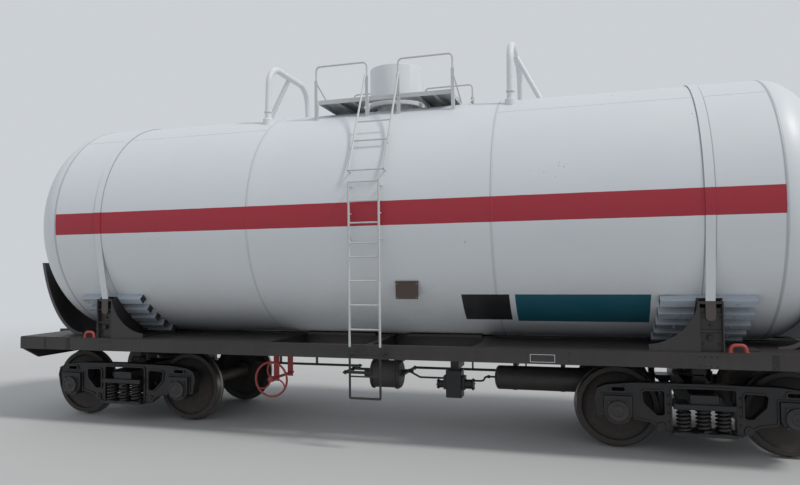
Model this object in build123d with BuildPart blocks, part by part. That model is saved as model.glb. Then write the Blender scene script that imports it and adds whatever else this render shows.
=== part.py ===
"""Four-axle railway tank car for liquefied gas.

Millimetres. X runs along the car, Y across it and Z up. X = 0 and Y = 0 are the middle of
the car, and Z = 0 is the lowest point of the wheel flanges. The ends are called a (+X) and b (-X).
The near side is -Y. Heights are built up from the axles: bogie, underframe, tank, roof fittings.
"""
import os
from math import atan2, cos, degrees, radians, sin, sqrt

from build123d import *

# Driving sizes of the whole car
length_over_couplers = 12020
coupler_throw = 610
bogie_overhang = 1500
wheelbase = 1850
tank_radius = 1620
sill_face = 1500

# Clearances: pieces that rest on each other, turned fits, and parts that swing past each other
seat_gap = 0.3
bore_gap = 0.05
swing_gap = 8

# Wheels and axles for 1520 mm gauge
flange_height = 28
wheel_radius = 478.5
wheel_back = 720
rim_width = 130
rim_depth = 66
hub_radius = 138
hub_outer = 866
hub_inner = 690
axle_middle_radius = 83
axle_seat_radius = 97
journal_radius = 65
journal_length = 200
axle_height = flange_height + wheel_radius

# Stations along the car
frame_half = length_over_couplers / 2 - coupler_throw
bogie_station = frame_half - bogie_overhang
inner_axle = bogie_station - wheelbase / 2
outer_axle = bogie_station + wheelbase / 2

# Side frame of the bogie, heights from the axles
frame_line = 1018
frame_thickness = 130
frame_top = axle_height + 336.5
frame_bottom = axle_height - 238.5
frame_end = wheelbase / 2 + 262
frame_corner = 764
frame_rim = 20
rim_rise = 14
window_half = 335
window_top = axle_height + 279.5
window_corner = 25
shelf_top = axle_height - 202.5
shelf_depth = 312
box_half = 160
box_rise = 178
box_inner = hub_outer + 34
box_outer = box_inner + 230
cap_radius = 118
cap_depth = 34
spring_radius = 76
spring_pitch = 208
spring_row = 78

# Bolster of the bogie
bolster_half = 150
bolster_end_bottom = axle_height + 58.5
bolster_end_top = bolster_end_bottom + 163
bolster_middle_bottom = axle_height - 36.5
bolster_top = axle_height + 283.5
bolster_reach = frame_line + 122
bowl_radius = 205
bowl_rise = 12
plate_radius = 148
plate_clear = 6
plate_height = bolster_top + 40
pin_radius = 27
bearer_line = 762
bearer_top = bolster_top + 110
shoe_thickness = 60
shoe_width = 78
shoe_height = 330

# Underframe, heights from the centre plate
sill_top = plate_height + 418
sill_height = 172
sill_flange = 84
sill_web = 10
sill_bottom = sill_top - sill_height
centre_half = 185
centre_depth = 343
centre_bottom = sill_top - centre_depth
centre_web = 12
deck_plate = 8
deck_top = sill_top + deck_plate
end_beam_depth = 70
bolster_box = 220
coupler_axis = sill_top - 160
coupler_shank = 65

# Tank
tank_axis = deck_top + tank_radius
tank_top = tank_axis + tank_radius
tank_overhang = 109
head_depth = tank_radius / 2 + 25
head_seam = frame_half + tank_overhang - head_depth
tank_line = Axis((0, 0, tank_axis), (1, 0, 0))

# Saddles under the tank at each bogie
saddle_middle = bogie_station + 40
saddle_reach = sill_face - 30
saddle_top = sill_top + 574
band_width = 100
band_thickness = 12
leg_y = saddle_reach - 24
band_foot = saddle_top - 16

# Roof fittings, heights from the top of the tank
dome_radius = 395
dome_wall = 6
dome_round = 12
dome_top = tank_top + 632
flange_radius = 412
flange_level = tank_top + 44
flange_plate = 30
neck_radius = 300
platform_middle = 20
platform_half = 955
platform_side = 750
platform_edge = 60
platform_top = tank_top + 82
post_outer = 980
post_inner = 225
post_top = tank_top + 354
rail_top = tank_top + 556
rail_radius = 13
arch_station = 1750
arch_half = 600
arch_radius = 54
arch_bend = 170
arch_top = tank_top + 609

# Ladders
ladder_middle = 55
ladder_half = 195
ladder_line = tank_radius + 80
ladder_tube = 14
rung_radius = 10
ladder_foot = sill_bottom - 448

ends = (1, -1)
sides = (-1, 1)
near_and_far = ((-1, "near"), (1, "far"))
end_names = ((1, "a"), (-1, "b"))

os.makedirs("parts", exist_ok=True)


def block(x, y, z, mode=Mode.ADD):
    """A plain block between (low, high) pairs, added to the part being built."""
    with Locations(((x[0] + x[1]) / 2, (y[0] + y[1]) / 2, (z[0] + z[1]) / 2)):
        Box(abs(x[1] - x[0]), abs(y[1] - y[0]), abs(z[1] - z[0]), mode=mode)


def rod(start, end, radius, mode=Mode.ADD):
    """A round bar from one point to another."""
    run = Vector(*end) - Vector(*start)
    middle = (Vector(*end) + Vector(*start)) * 0.5
    with Locations(Plane(origin=middle, z_dir=run)):
        Cylinder(radius, run.length, mode=mode)


def bent_tube(points, radius, bend):
    """A round tube swept along points, with its corners bent."""
    with BuildLine() as path:
        FilletPolyline(*points, radius=bend)
    with BuildSketch(Plane(origin=path.line @ 0, z_dir=path.line % 0)) as section:
        Circle(radius)
    sweep(section.sketch, path=path.line)


def side_plane(y):
    """A plane across the car at y, seen from the near side: its x is X and its y is Z."""
    return Plane.XZ.offset(-y)


def tank_round(radius, mode):
    """A cylinder about the tank's axis, longer than the tank."""
    with Locations(Plane(origin=(0, 0, tank_axis), z_dir=(1, 0, 0))):
        Cylinder(radius, 3 * head_seam, mode=mode)


def skin_above(y):
    """Height of the tank's upper surface at y."""
    return tank_axis + sqrt(tank_radius**2 - y**2)


def skin_below(y):
    """Height of the tank's lower surface at y."""
    return tank_axis - sqrt(tank_radius**2 - y**2)


def skin_beside(z):
    """Half the tank's width at height z."""
    return sqrt(tank_radius**2 - (z - tank_axis) ** 2)


def keep(builder, label):
    """Names a finished piece and writes it."""
    builder.part.label = label
    export_step(builder.part, f"parts/{label}.step")


# Tank: a closed barrel with deep elliptical heads
with BuildPart() as tank:
    with BuildSketch(Plane.XZ):
        with BuildLine():
            Line((0, tank_axis), (head_seam + head_depth, tank_axis))
            EllipticalCenterArc((head_seam, tank_axis), head_depth, tank_radius, arc_size=90)
            Polyline((head_seam, tank_top), (0, tank_top), (0, tank_axis))
        make_face()
        mirror(about=Plane.YZ)
    revolve(axis=tank_line)
keep(tank, "tank")

# Hold-down bands: over the tank, then straight down to the saddle brackets
band_inner = tank_radius + seat_gap
band_outer = band_inner + band_thickness
leg_reach = sqrt(leg_y**2 + (tank_axis - band_foot) ** 2)


def tangent_angle(radius):
    """Angle up from +Y at which the straight leg leaves the round of this radius."""
    foot_angle = degrees(atan2(band_foot - tank_axis, leg_y))
    return foot_angle + degrees(atan2(sqrt(leg_reach**2 - radius**2), radius))


lift = radians(tangent_angle(band_inner))
leg_normal = (cos(lift), sin(lift))
half_lift = (lift + radians(90)) / 2
foot_low = band_foot + band_thickness * leg_normal[1]


def round_point(radius, angle):
    """A point on a round about the tank's axis, across the car."""
    return (radius * cos(angle), tank_axis + radius * sin(angle))


with BuildPart() as tank_bands:
    for end in ends:
        with BuildSketch(Plane.YZ.offset(end * saddle_middle)):
            inner = round_point(band_inner, lift)
            outer = round_point(band_outer, lift)
            foot = (leg_y, band_foot)
            outer_foot = (
                leg_y + band_thickness * leg_normal[0],
                band_foot + band_thickness * leg_normal[1],
            )
            with BuildLine():
                Line((0, tank_axis + band_inner), (0, tank_axis + band_outer))
                ThreePointArc((0, tank_axis + band_outer), round_point(band_outer, half_lift), outer)
                Polyline(outer, outer_foot, foot, inner)
                ThreePointArc(inner, round_point(band_inner, half_lift), (0, tank_axis + band_inner))
            make_face()
            mirror(about=Plane.YZ)
        extrude(amount=band_width / 2, both=True)
keep(tank_bands, "tank_bands")

# Timbers: bars a side at each saddle, stepping in under the barrel inside the bands' legs
timber_count = 5
timber_length = 1000
timber_height = 92
timber_gap = 8
timber_clear = 22
timber_depth = leg_y - timber_clear - skin_beside(saddle_top - timber_height / 2)


def timber_step(index):
    """Bottom, top and outer face of one timber, counted from the top."""
    top = saddle_top - index * (timber_height + timber_gap)
    bottom = top - timber_height
    return bottom, top, skin_beside((top + bottom) / 2) + timber_depth


with BuildPart() as saddle_timbers:
    for end in ends:
        centre = end * saddle_middle
        for index in range(timber_count):
            bottom, top, face = timber_step(index)
            for side in sides:
                block(
                    (centre - timber_length / 2, centre + timber_length / 2),
                    (side * face, side * (face - 2 * timber_depth)),
                    (bottom, top),
                )
    tank_round(tank_radius + seat_gap, Mode.SUBTRACT)
keep(saddle_timbers, "saddle_timbers")

# Saddles: cross webs cut to the timbers, a floor under them and a bracket at each side
saddle_plate = 14
saddle_spread = 120
web_top = saddle_top - 20
pan_gap = 40
floor_inset = 140
gusset_reach = 520
gusset_toe = 70
gusset_belly = (150, 250)
face_inset = 70
face_drop = 60
foot_shelf = 30
brace_radius = 11
brace_drops = (150, 330)
with BuildPart() as saddles:
    for end in ends:
        centre = end * saddle_middle
        for shift in (-saddle_spread, saddle_spread):
            web_x = centre + shift
            block(
                (web_x - saddle_plate / 2, web_x + saddle_plate / 2),
                (-saddle_reach, saddle_reach),
                (deck_top, web_top),
            )
        block(
            (centre - timber_length / 2, centre + timber_length / 2),
            (floor_inset - saddle_reach, saddle_reach - floor_inset),
            (deck_top, deck_top + saddle_plate),
        )
        root = centre - end * saddle_spread
        toe = root - end * gusset_reach
        belly = (root - end * gusset_belly[0], deck_top + gusset_belly[1])
        for side in sides:
            with BuildSketch(side_plane(side * (saddle_reach - saddle_plate / 2))):
                with BuildLine():
                    Line((root, deck_top), (root, web_top))
                    ThreePointArc((root, web_top), belly, (toe, deck_top + gusset_toe))
                    Polyline((toe, deck_top + gusset_toe), (toe, deck_top), (root, deck_top))
                make_face()
            extrude(amount=saddle_plate / 2, both=True)
            face_y = saddle_reach - face_inset
            block(
                (centre - saddle_spread, centre + saddle_spread),
                (side * face_y, side * (face_y + saddle_plate)),
                (deck_top, band_foot - face_drop),
            )
            block(
                (centre - saddle_spread, centre + saddle_spread),
                (side * (leg_y - foot_shelf), side * (saddle_reach - 10)),
                (foot_low - foot_shelf, foot_low - seat_gap),
            )
            for drop in brace_drops:
                rod(
                    (centre - saddle_spread, side * (saddle_reach - foot_shelf), band_foot - drop),
                    (centre + saddle_spread, side * (saddle_reach - foot_shelf), band_foot - drop),
                    brace_radius,
                )
    far_corner = saddle_middle + timber_length
    for index in range(timber_count):
        bottom, top, face = timber_step(index)
        block(
            (-far_corner, far_corner),
            (-face - seat_gap, face + seat_gap),
            (bottom - seat_gap, 2 * tank_axis),
            mode=Mode.SUBTRACT,
        )
    tank_round(tank_radius + pan_gap, Mode.SUBTRACT)
keep(saddles, "saddles")

# Feet that hold the barrel to the centre sill at mid-length
foot_start = 235
foot_end = 1280
foot_line = 300
foot_width = 120
foot_strip = 36
foot_plate = 16
foot_inset = 40
foot_taper = 90
foot_overlap = 60
bracket_inset = 20
bracket_taper = 260
bracket_depth = 170
with BuildPart() as centre_feet:
    for end in ends:
        for side in sides:
            block(
                (end * foot_start, end * foot_end),
                (side * (centre_half + seat_gap), side * (foot_line + foot_width)),
                (sill_top, sill_top + foot_strip),
            )
            with BuildSketch(side_plane(side * foot_line)):
                with BuildLine():
                    Polyline(
                        (end * (foot_start + foot_inset), sill_top + foot_strip),
                        (end * (foot_end - foot_inset), sill_top + foot_strip),
                        (end * (foot_end - foot_taper), skin_below(foot_line) + foot_overlap),
                        (end * (foot_start + foot_taper), skin_below(foot_line) + foot_overlap),
                        close=True,
                    )
                make_face()
            extrude(amount=foot_plate / 2, both=True)
            with BuildSketch(side_plane(side * (centre_half + foot_plate + seat_gap))):
                with BuildLine():
                    Polyline(
                        (end * (foot_start + bracket_inset), sill_top),
                        (end * (foot_end - bracket_inset), sill_top),
                        (end * (foot_end - bracket_taper), sill_top - bracket_depth),
                        (end * (foot_start + bracket_taper), sill_top - bracket_depth),
                        close=True,
                    )
                make_face()
            extrude(amount=foot_plate, both=True)
    tank_round(tank_radius + seat_gap, Mode.SUBTRACT)
keep(centre_feet, "centre_feet")

# Centre sill: two deep webs with inward bottom flanges under one top plate
sill_end = frame_half - end_beam_depth - seat_gap
with BuildPart() as centre_sill:
    with BuildSketch(Plane.YZ):
        with Locations((0, (sill_top + centre_bottom) / 2)):
            Rectangle(2 * centre_half, centre_depth)
            Rectangle(2 * (centre_half - centre_web), centre_depth - 2 * centre_web, mode=Mode.SUBTRACT)
        with Locations((0, centre_bottom + centre_web / 2)):
            Rectangle(centre_half, centre_web, mode=Mode.SUBTRACT)
    extrude(amount=sill_end, both=True)
keep(centre_sill, "centre_sill")

# Side sills: channels with their flanges turned in
with BuildPart() as side_sills:
    for side in sides:
        with BuildSketch(Plane.YZ):
            with Locations((side * (sill_face - sill_flange / 2), sill_top - sill_height / 2)):
                Rectangle(sill_flange, sill_height)
            with Locations((side * (sill_face - sill_web - sill_flange / 2), sill_top - sill_height / 2)):
                Rectangle(sill_flange, sill_height - 2 * sill_web, mode=Mode.SUBTRACT)
        extrude(amount=sill_end, both=True)
keep(side_sills, "side_sills")

# End beams: deeper in the middle, with a striker round the coupler
striker_half = 260
striker_slope = 300
striker_bottom = sill_top - 318
striker_mouth = 210
striker_rise = 170
striker_face = 60
striker_height = 300
striker_middle = coupler_axis - coupler_shank - seat_gap + striker_rise / 2
with BuildPart() as end_beams:
    for end in ends:
        with BuildSketch(Plane.YZ.offset(end * (frame_half - end_beam_depth / 2))):
            with BuildLine():
                Polyline(
                    (-sill_face, sill_top),
                    (sill_face, sill_top),
                    (sill_face, sill_bottom),
                    (striker_half + striker_slope, sill_bottom),
                    (striker_half, striker_bottom),
                    (-striker_half, striker_bottom),
                    (-striker_half - striker_slope, sill_bottom),
                    (-sill_face, sill_bottom),
                    close=True,
                )
            make_face()
            with Locations((0, striker_middle)):
                Rectangle(striker_mouth, striker_rise, mode=Mode.SUBTRACT)
        extrude(amount=end_beam_depth / 2, both=True)
        with BuildSketch(Plane.YZ.offset(end * (frame_half + striker_face / 2))):
            with Locations((0, coupler_axis)):
                Rectangle(2 * striker_half, striker_height)
            with Locations((0, striker_middle)):
                Rectangle(striker_mouth, striker_rise, mode=Mode.SUBTRACT)
        extrude(amount=striker_face / 2, both=True)
keep(end_beams, "end_beams")

# Body bolsters: arms from the centre sill to the side sills, with centre plate, king pin and bearers
arm_root = 430
arm_cover = 16
arm_tip_bottom = sill_bottom + 12
arm_tip = sill_face - sill_flange - seat_gap
bearer_half = 60
bearer_block = 70
pin_low = bolster_middle_bottom + 60
with BuildPart() as body_bolsters:
    for end in ends:
        station = end * bogie_station
        box = (station - bolster_box / 2, station + bolster_box / 2)
        with BuildSketch(Plane.YZ.offset(station)):
            for side in sides:
                with BuildLine():
                    Polyline(
                        (side * (centre_half + seat_gap), sill_top),
                        (side * arm_tip, sill_top),
                        (side * arm_tip, arm_tip_bottom),
                        (side * arm_root, centre_bottom),
                        (side * (centre_half + seat_gap), centre_bottom),
                        close=True,
                    )
                make_face()
        extrude(amount=bolster_box / 2, both=True)
        block(box, (-arm_root, arm_root), (centre_bottom - arm_cover, centre_bottom - seat_gap))
        for side in sides:
            block(
                box,
                (side * (centre_half + seat_gap), side * arm_root),
                (centre_bottom - arm_cover, centre_bottom),
            )
            block(
                (station - bearer_block, station + bearer_block),
                (side * (bearer_line - bearer_half), side * (bearer_line + bearer_half)),
                (bearer_top + swing_gap, sill_bottom),
            )
        rod(
            (station, 0, plate_height + seat_gap),
            (station, 0, centre_bottom - seat_gap),
            plate_radius,
        )
        rod((station, 0, pin_low), (station, 0, centre_bottom - arm_cover), pin_radius)
keep(body_bolsters, "body_bolsters")

# Crossbearers between the centre sill and the side sills
bearer_flange = 90
bearer_web = 12
bearer_depth = 150
outer_bearer = inner_axle - 525
inner_bearer = inner_axle - 1575
crossbearer_stations = (-outer_bearer, -inner_bearer, 0, inner_bearer, outer_bearer)
with BuildPart() as crossbearers:
    for station in crossbearer_stations:
        for side in sides:
            start = centre_half + seat_gap
            with BuildSketch(side_plane(side * start)):
                with Locations((station, sill_top - bearer_depth / 2)):
                    Rectangle(bearer_web, bearer_depth)
                with Locations((station, sill_top - bearer_web / 2)):
                    Rectangle(bearer_flange, bearer_web)
                with Locations((station, sill_top - bearer_depth + bearer_web / 2)):
                    Rectangle(bearer_flange, bearer_web)
            extrude(amount=-side * (arm_tip - start))
keep(crossbearers, "crossbearers")

# Deck plates at both ends, open over the middle of the frame
deck_start = 1330
deck_slant = 60
deck_slot = 330
deck_edge = 12
with BuildPart() as deck_plates:
    with BuildSketch(Plane.XY.offset(sill_top)):
        for end in ends:
            for side in sides:
                with BuildLine():
                    Polyline(
                        (end * deck_start, side * (sill_face - deck_edge)),
                        (end * (deck_start + deck_slant), side * sill_face / 2),
                        (end * (deck_start + deck_slant), side * deck_slot),
                        (end * frame_half, side * deck_slot),
                        (end * frame_half, side * (sill_face - deck_edge)),
                        close=True,
                    )
                make_face()
    extrude(amount=deck_plate - seat_gap)
keep(deck_plates, "deck_plates")

# Head shields: curved plates on the deck outside each head, with ribs at the edges and inside
shield_depth = head_depth + 110
shield_radius = tank_radius + 305
shield_plate = 10
shield_rib = 34
shield_half = 1060
shield_top = tank_axis - 536
rib_bays = 3


def shield_bowl(low, high):
    """The section of a bowl round the head, between two distances from the plate's outer face."""
    with BuildSketch(Plane.XY.offset(tank_axis)) as section:
        with BuildLine():
            for growth in (low, high):
                depth = shield_depth + growth
                radius = shield_radius + growth
                EllipticalCenterArc((head_seam, 0), depth, radius, start_angle=270, arc_size=90)
            Line((head_seam + shield_depth + low, 0), (head_seam + shield_depth + high, 0))
            Line((head_seam, -shield_radius - low), (head_seam, -shield_radius - high))
        make_face()
    return section.sketch


shield_middle = (deck_top + shield_top) / 2
shield_bay = 2 * shield_half / rib_bays
with BuildPart() as shield_bays:
    revolve(shield_bowl(0, 2 * shield_rib), axis=tank_line, revolution_arc=180)
    with Locations(*((0, (bay - (rib_bays - 1) / 2) * shield_bay, shield_middle) for bay in range(rib_bays))):
        Box(4 * head_seam, shield_bay - shield_plate, 2 * tank_radius, mode=Mode.INTERSECT)
with BuildPart() as head_shields:
    revolve(shield_bowl(-shield_plate, shield_rib), axis=tank_line, revolution_arc=180)
    with Locations((0, 0, shield_middle)):
        Box(4 * head_seam, 2 * shield_half, shield_top - deck_top, mode=Mode.INTERSECT)
    add(shield_bays.part, mode=Mode.SUBTRACT)
    mirror(about=Plane.YZ)
keep(head_shields, "head_shields")

# Couplers: shank, head and the two teeth of an automatic coupler
coupler_root = 260
coupler_neck = 130
coupler_height = 300
coupler_corner = 18
coupler_plan = (
    # from the neck or from the reach, distance, across
    ("neck", 0, -90),
    ("neck", 90, -190),
    ("neck", 330, -215),
    ("reach", 0, -170),
    ("reach", 0, -120),
    ("neck", 250, -60),
    ("neck", 250, 70),
    ("reach", -90, 130),
    ("reach", -60, 190),
    ("neck", 260, 215),
    ("neck", 90, 160),
    ("neck", 0, 90),
)
for end, letter in end_names:
    coupler_starts = {"neck": frame_half + coupler_neck, "reach": frame_half + coupler_throw}
    with BuildPart() as coupler:
        block(
            (end * (frame_half - coupler_root), end * coupler_starts["neck"]),
            (-coupler_shank, coupler_shank),
            (coupler_axis - coupler_shank, coupler_axis + coupler_shank),
        )
        with BuildSketch(Plane.XY.offset(coupler_axis)):
            with BuildLine():
                Polyline(
                    *((end * (coupler_starts[key] + far), end * across) for key, far, across in coupler_plan),
                    close=True,
                )
            make_face()
        extrude(amount=coupler_height / 2, both=True)
        fillet(coupler.edges().filter_by(Axis.Z).sort_by(Axis.X)[-2 if end > 0 else 0], coupler_corner)
    keep(coupler, "coupler_" + letter)

# Dome: neck on the barrel, bolted flange and cover plate with its valves
cover_bottom = flange_level + flange_plate
cover_top = cover_bottom + flange_plate
hood_bottom = cover_top + seat_gap
hinge_x = dome_radius + 38
hinge_z = cover_top + 26
hinge_pin = 9
hinge_eye = 2 * hinge_pin
hinge_line = 150
hinge_leaf = 14
hinge_root = 40
hinge_step = 10
valves = (
    # x, y, radius, height
    (-170, 0, 55, 250),
    (100, 160, 55, 250),
    (100, -160, 55, 250),
    (210, 0, 40, 180),
    (-40, 0, 62, 330),
)
with BuildPart() as dome:
    with BuildSketch(Plane.XY.offset(tank_axis)):
        Circle(neck_radius)
    extrude(amount=flange_level - tank_axis)
    with BuildSketch(Plane.XY.offset(flange_level)):
        Circle(flange_radius)
    extrude(amount=flange_plate)
    tank_round(tank_radius + seat_gap, Mode.SUBTRACT)
keep(dome, "dome")

with BuildPart() as manhole_cover:
    with BuildSketch(Plane.XY.offset(cover_bottom)):
        Circle(flange_radius)
    extrude(amount=flange_plate)
    for x, y, radius, height in valves:
        rod((x, y, cover_top), (x, y, cover_top + height / 2), radius)
        rod((x, y, cover_top + height / 2), (x, y, cover_top + height), radius / 2)
    for side in sides:
        leaf = (side * hinge_line, side * (hinge_line + hinge_leaf))
        block(
            (flange_radius - hinge_root, hinge_x + hinge_eye),
            leaf,
            (cover_bottom, cover_top - hinge_step),
        )
        block(
            (hinge_x - hinge_eye, hinge_x + hinge_eye),
            leaf,
            (cover_top - hinge_step, hinge_z + hinge_eye),
        )
    pin_end = hinge_line + hinge_leaf
    rod((hinge_x, -pin_end, hinge_z), (hinge_x, pin_end, hinge_z), hinge_pin)
keep(manhole_cover, "manhole_cover")

# Hood over the valves, hinged on its +X side
lug_width = 50
lug_gap = 6
lug_root = 60
with BuildPart() as dome_hood:
    with BuildSketch(Plane.XY.offset(hood_bottom)):
        Circle(dome_radius)
    extrude(amount=dome_top - hood_bottom)
    fillet(dome_hood.faces().sort_by(Axis.Z)[-1].edges(), dome_round)
    for side in sides:
        block(
            (dome_radius - lug_root, hinge_x + hinge_eye),
            (side * (hinge_line - lug_gap - lug_width), side * (hinge_line - lug_gap)),
            (hinge_z - hinge_eye, hinge_z + hinge_eye),
        )
    with BuildSketch(Plane.XY.offset(hood_bottom)):
        Circle(dome_radius - dome_wall)
    extrude(amount=dome_top - dome_wall - hood_bottom, mode=Mode.SUBTRACT)
    rod(
        (hinge_x, -hinge_line, hinge_z),
        (hinge_x, hinge_line, hinge_z),
        hinge_pin + bore_gap,
        mode=Mode.SUBTRACT,
    )
keep(dome_hood, "dome_hood")

# Platform round the dome: deck plate in an angle frame with cross angles beneath
angle_plate = 6
angle_leg = 45
dome_opening = flange_radius + 85
cross_angles = (-700, -470, 470, 700)
platform_low = platform_top - platform_edge
with BuildPart() as platform:
    with BuildSketch(Plane.XY.offset(platform_top - angle_plate)):
        with Locations((platform_middle, 0)):
            Rectangle(2 * platform_half, 2 * platform_side)
        Circle(dome_opening, mode=Mode.SUBTRACT)
    extrude(amount=angle_plate)
    with BuildSketch(Plane.XY.offset(platform_low)):
        with Locations((platform_middle, 0)):
            Rectangle(2 * platform_half, 2 * platform_side)
            Rectangle(
                2 * (platform_half - angle_plate),
                2 * (platform_side - angle_plate),
                mode=Mode.SUBTRACT,
            )
    extrude(amount=platform_edge)
    for station in cross_angles:
        x = platform_middle + station
        block(
            (x, x + angle_plate),
            (-platform_side, platform_side),
            (platform_low, platform_top - angle_plate),
        )
        block(
            (x, x + angle_leg),
            (-platform_side, platform_side),
            (platform_low, platform_low + angle_plate),
        )
    tank_round(tank_radius + seat_gap, Mode.SUBTRACT)
keep(platform, "platform")

# Posts and hand rails of the platform, standing on the barrel, one piece for each side
rail_bend = 60
rail_out = 5
rail_lap = 80
post_leg = 44
post_root = 60
brace_inset = 4
brace_drop = 40
brace_foot = 150
brace_rise = 20
platform_brace = 10
rail_line = platform_side + post_leg / 2 + seat_gap
for side, word in near_and_far:
    with BuildPart() as platform_rails:
        y = side * rail_line
        for end in ends:
            for station in (post_outer, post_inner):
                x = platform_middle + end * station
                block(
                    (x - post_leg / 2, x + post_leg / 2),
                    (y - post_leg / 2, y + post_leg / 2),
                    (skin_above(rail_line) - post_root, post_top),
                )
                block(
                    (x - post_leg / 2 + angle_plate, x + post_leg),
                    (y - side * post_leg, y + side * (post_leg / 2 - angle_plate)),
                    (platform_top + seat_gap, post_top + post_leg),
                    mode=Mode.SUBTRACT,
                )
            near = platform_middle + end * post_inner
            far = platform_middle + end * post_outer
            line = y + side * rail_out
            bent_tube(
                (
                    (near, line, post_top - rail_lap),
                    (near, line, rail_top),
                    (far, line, rail_top),
                    (far, line, post_top - rail_lap),
                ),
                rail_radius,
                rail_bend,
            )
            brace_x = platform_middle + end * (post_outer - brace_inset)
            rod(
                (brace_x, side * (rail_line - 2 * brace_inset), post_top - brace_drop),
                (brace_x, side * brace_foot, platform_low + brace_rise),
                platform_brace,
            )
        tank_round(tank_radius + seat_gap, Mode.SUBTRACT)
    keep(platform_rails, "platform_rails_" + word)

# Arches that guard the roof fittings: a bent tube across the car, braced outward
hoop_root = 420
brace_throw = 330
brace_share = 0.8
collar_low = 130
collar_high = 150
collar_step = 12
pad_radius = 85
pad_rise = 34
root_depth = 60
for end, letter in end_names:
    with BuildPart() as arch:
        x = end * arch_station
        hoop_top = arch_top - arch_radius
        skin = skin_above(arch_half)
        bent_tube(
            (
                (x, -arch_half, tank_top - hoop_root),
                (x, -arch_half, hoop_top),
                (x, arch_half, hoop_top),
                (x, arch_half, tank_top - hoop_root),
            ),
            arch_radius,
            arch_bend,
        )
        rod(
            (x, 0, hoop_top),
            (x + end * brace_throw, 0, tank_top - root_depth),
            arch_radius * brace_share,
        )
        for side in sides:
            y = side * arch_half
            rod((x, y, skin + collar_low), (x, y, skin + collar_high), arch_radius + collar_step)
            rod((x, y, skin - root_depth), (x, y, skin + pad_rise), pad_radius)
        tank_round(tank_radius + seat_gap, Mode.SUBTRACT)
    keep(arch, "arch_" + letter)

# Ladders: a slanting one from the platform, a short one on the barrel and a long one to the ground
upper_foot = ladder_line - 90
upper_low = tank_axis + 548
upper_high = post_top + 10
upper_lean = 35
upper_line = rail_line + 36
upper_inset = 14
foot_root = 250
foot_lift = 10
middle_top = tank_axis + 402
middle_bottom = tank_axis - 376
rung_inset = 12
stay_inset = 60
stay_reach = 40
sill_bracket = 25
bracket_low = sill_bottom + 60
bracket_plate = 12
upper_rungs = (upper_low, tank_axis + 962, tank_axis + 1242)
lower_rungs = (
    middle_top - rung_inset,
    tank_axis + 152,
    tank_axis - 116,
    middle_bottom + rung_inset,
    tank_axis - 536,
    tank_axis - 828,
    tank_axis - 1123,
    tank_axis - 1418,
    ladder_foot + 532,
    ladder_foot + 262,
)
ladder_stays = (middle_top - stay_inset, tank_axis, middle_bottom + stay_inset)


def upper_y(z):
    """How far out the slanting ladder stands at height z."""
    share = (z - upper_low) / (upper_high - upper_low)
    return upper_foot + share * (upper_line - upper_foot)


for side, word in near_and_far:
    with BuildPart() as ladder:
        for end in ends:
            x = ladder_middle + end * ladder_half
            low_x = x + end * upper_lean
            rod(
                (platform_middle + end * (post_inner + upper_inset), side * upper_line, upper_high),
                (low_x, side * upper_foot, upper_low),
                ladder_tube,
            )
            rod((x, side * ladder_line, ladder_foot), (x, side * ladder_line, middle_top), ladder_tube)
            for z in ladder_stays:
                start = skin_beside(z) - stay_reach
                rod((x, side * start, z), (x, side * ladder_line, z), rung_radius)
            rod(
                (low_x, side * (ladder_line - foot_root), upper_low - foot_lift),
                (low_x, side * upper_foot, upper_low - foot_lift),
                rung_radius,
            )
            block(
                (x - sill_bracket, x + sill_bracket),
                (side * (sill_face + seat_gap), side * ladder_line),
                (bracket_low, bracket_low + bracket_plate),
            )
        for z in lower_rungs:
            rod(
                (ladder_middle - ladder_half, side * ladder_line, z),
                (ladder_middle + ladder_half, side * ladder_line, z),
                rung_radius,
            )
        rod(
            (ladder_middle - ladder_half, side * ladder_line, ladder_foot),
            (ladder_middle + ladder_half, side * ladder_line, ladder_foot),
            ladder_tube,
        )
        for z in upper_rungs:
            rod(
                (ladder_middle - ladder_half - upper_lean, side * upper_y(z), z),
                (ladder_middle + ladder_half + upper_lean, side * upper_y(z), z),
                rung_radius,
            )
        tank_round(tank_radius + seat_gap, Mode.SUBTRACT)
    keep(ladder, "ladder_" + word)

# Air reservoir on two straps, its stations taken from the inner axle of bogie a
reservoir_radius = 155
reservoir_line = -450
reservoir_axis = sill_top - 513
reservoir_end = inner_axle - 255
reservoir_start = reservoir_end - 1270
reservoir_dish = 60
reservoir_middle = (reservoir_start + reservoir_end) / 2
strap_stations = (reservoir_middle - 365, reservoir_middle + 245)
strap_half = 25
strap_plate = 5
strap_lap = 20
strap_top = centre_bottom + 55
with BuildPart() as air_reservoir:
    with BuildSketch(side_plane(reservoir_line)):
        with BuildLine():
            Line((reservoir_middle, reservoir_axis), (reservoir_end, reservoir_axis))
            EllipticalCenterArc(
                (reservoir_end - reservoir_dish, reservoir_axis),
                reservoir_dish,
                reservoir_radius,
                arc_size=90,
            )
            Polyline(
                (reservoir_end - reservoir_dish, reservoir_axis + reservoir_radius),
                (reservoir_middle, reservoir_axis + reservoir_radius),
                (reservoir_middle, reservoir_axis),
            )
        make_face()
        mirror(about=Plane.YZ.offset(reservoir_middle))
    revolve(axis=Axis((0, reservoir_line, reservoir_axis), (1, 0, 0)))
    for x in strap_stations:
        rod(
            (x - strap_half, reservoir_line, reservoir_axis),
            (x + strap_half, reservoir_line, reservoir_axis),
            reservoir_radius + strap_plate,
        )
        block(
            (x - strap_half, x + strap_half),
            (reservoir_line - strap_lap, -centre_half - seat_gap),
            (reservoir_axis + reservoir_radius - strap_lap, strap_top),
        )
keep(air_reservoir, "air_reservoir")

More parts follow.
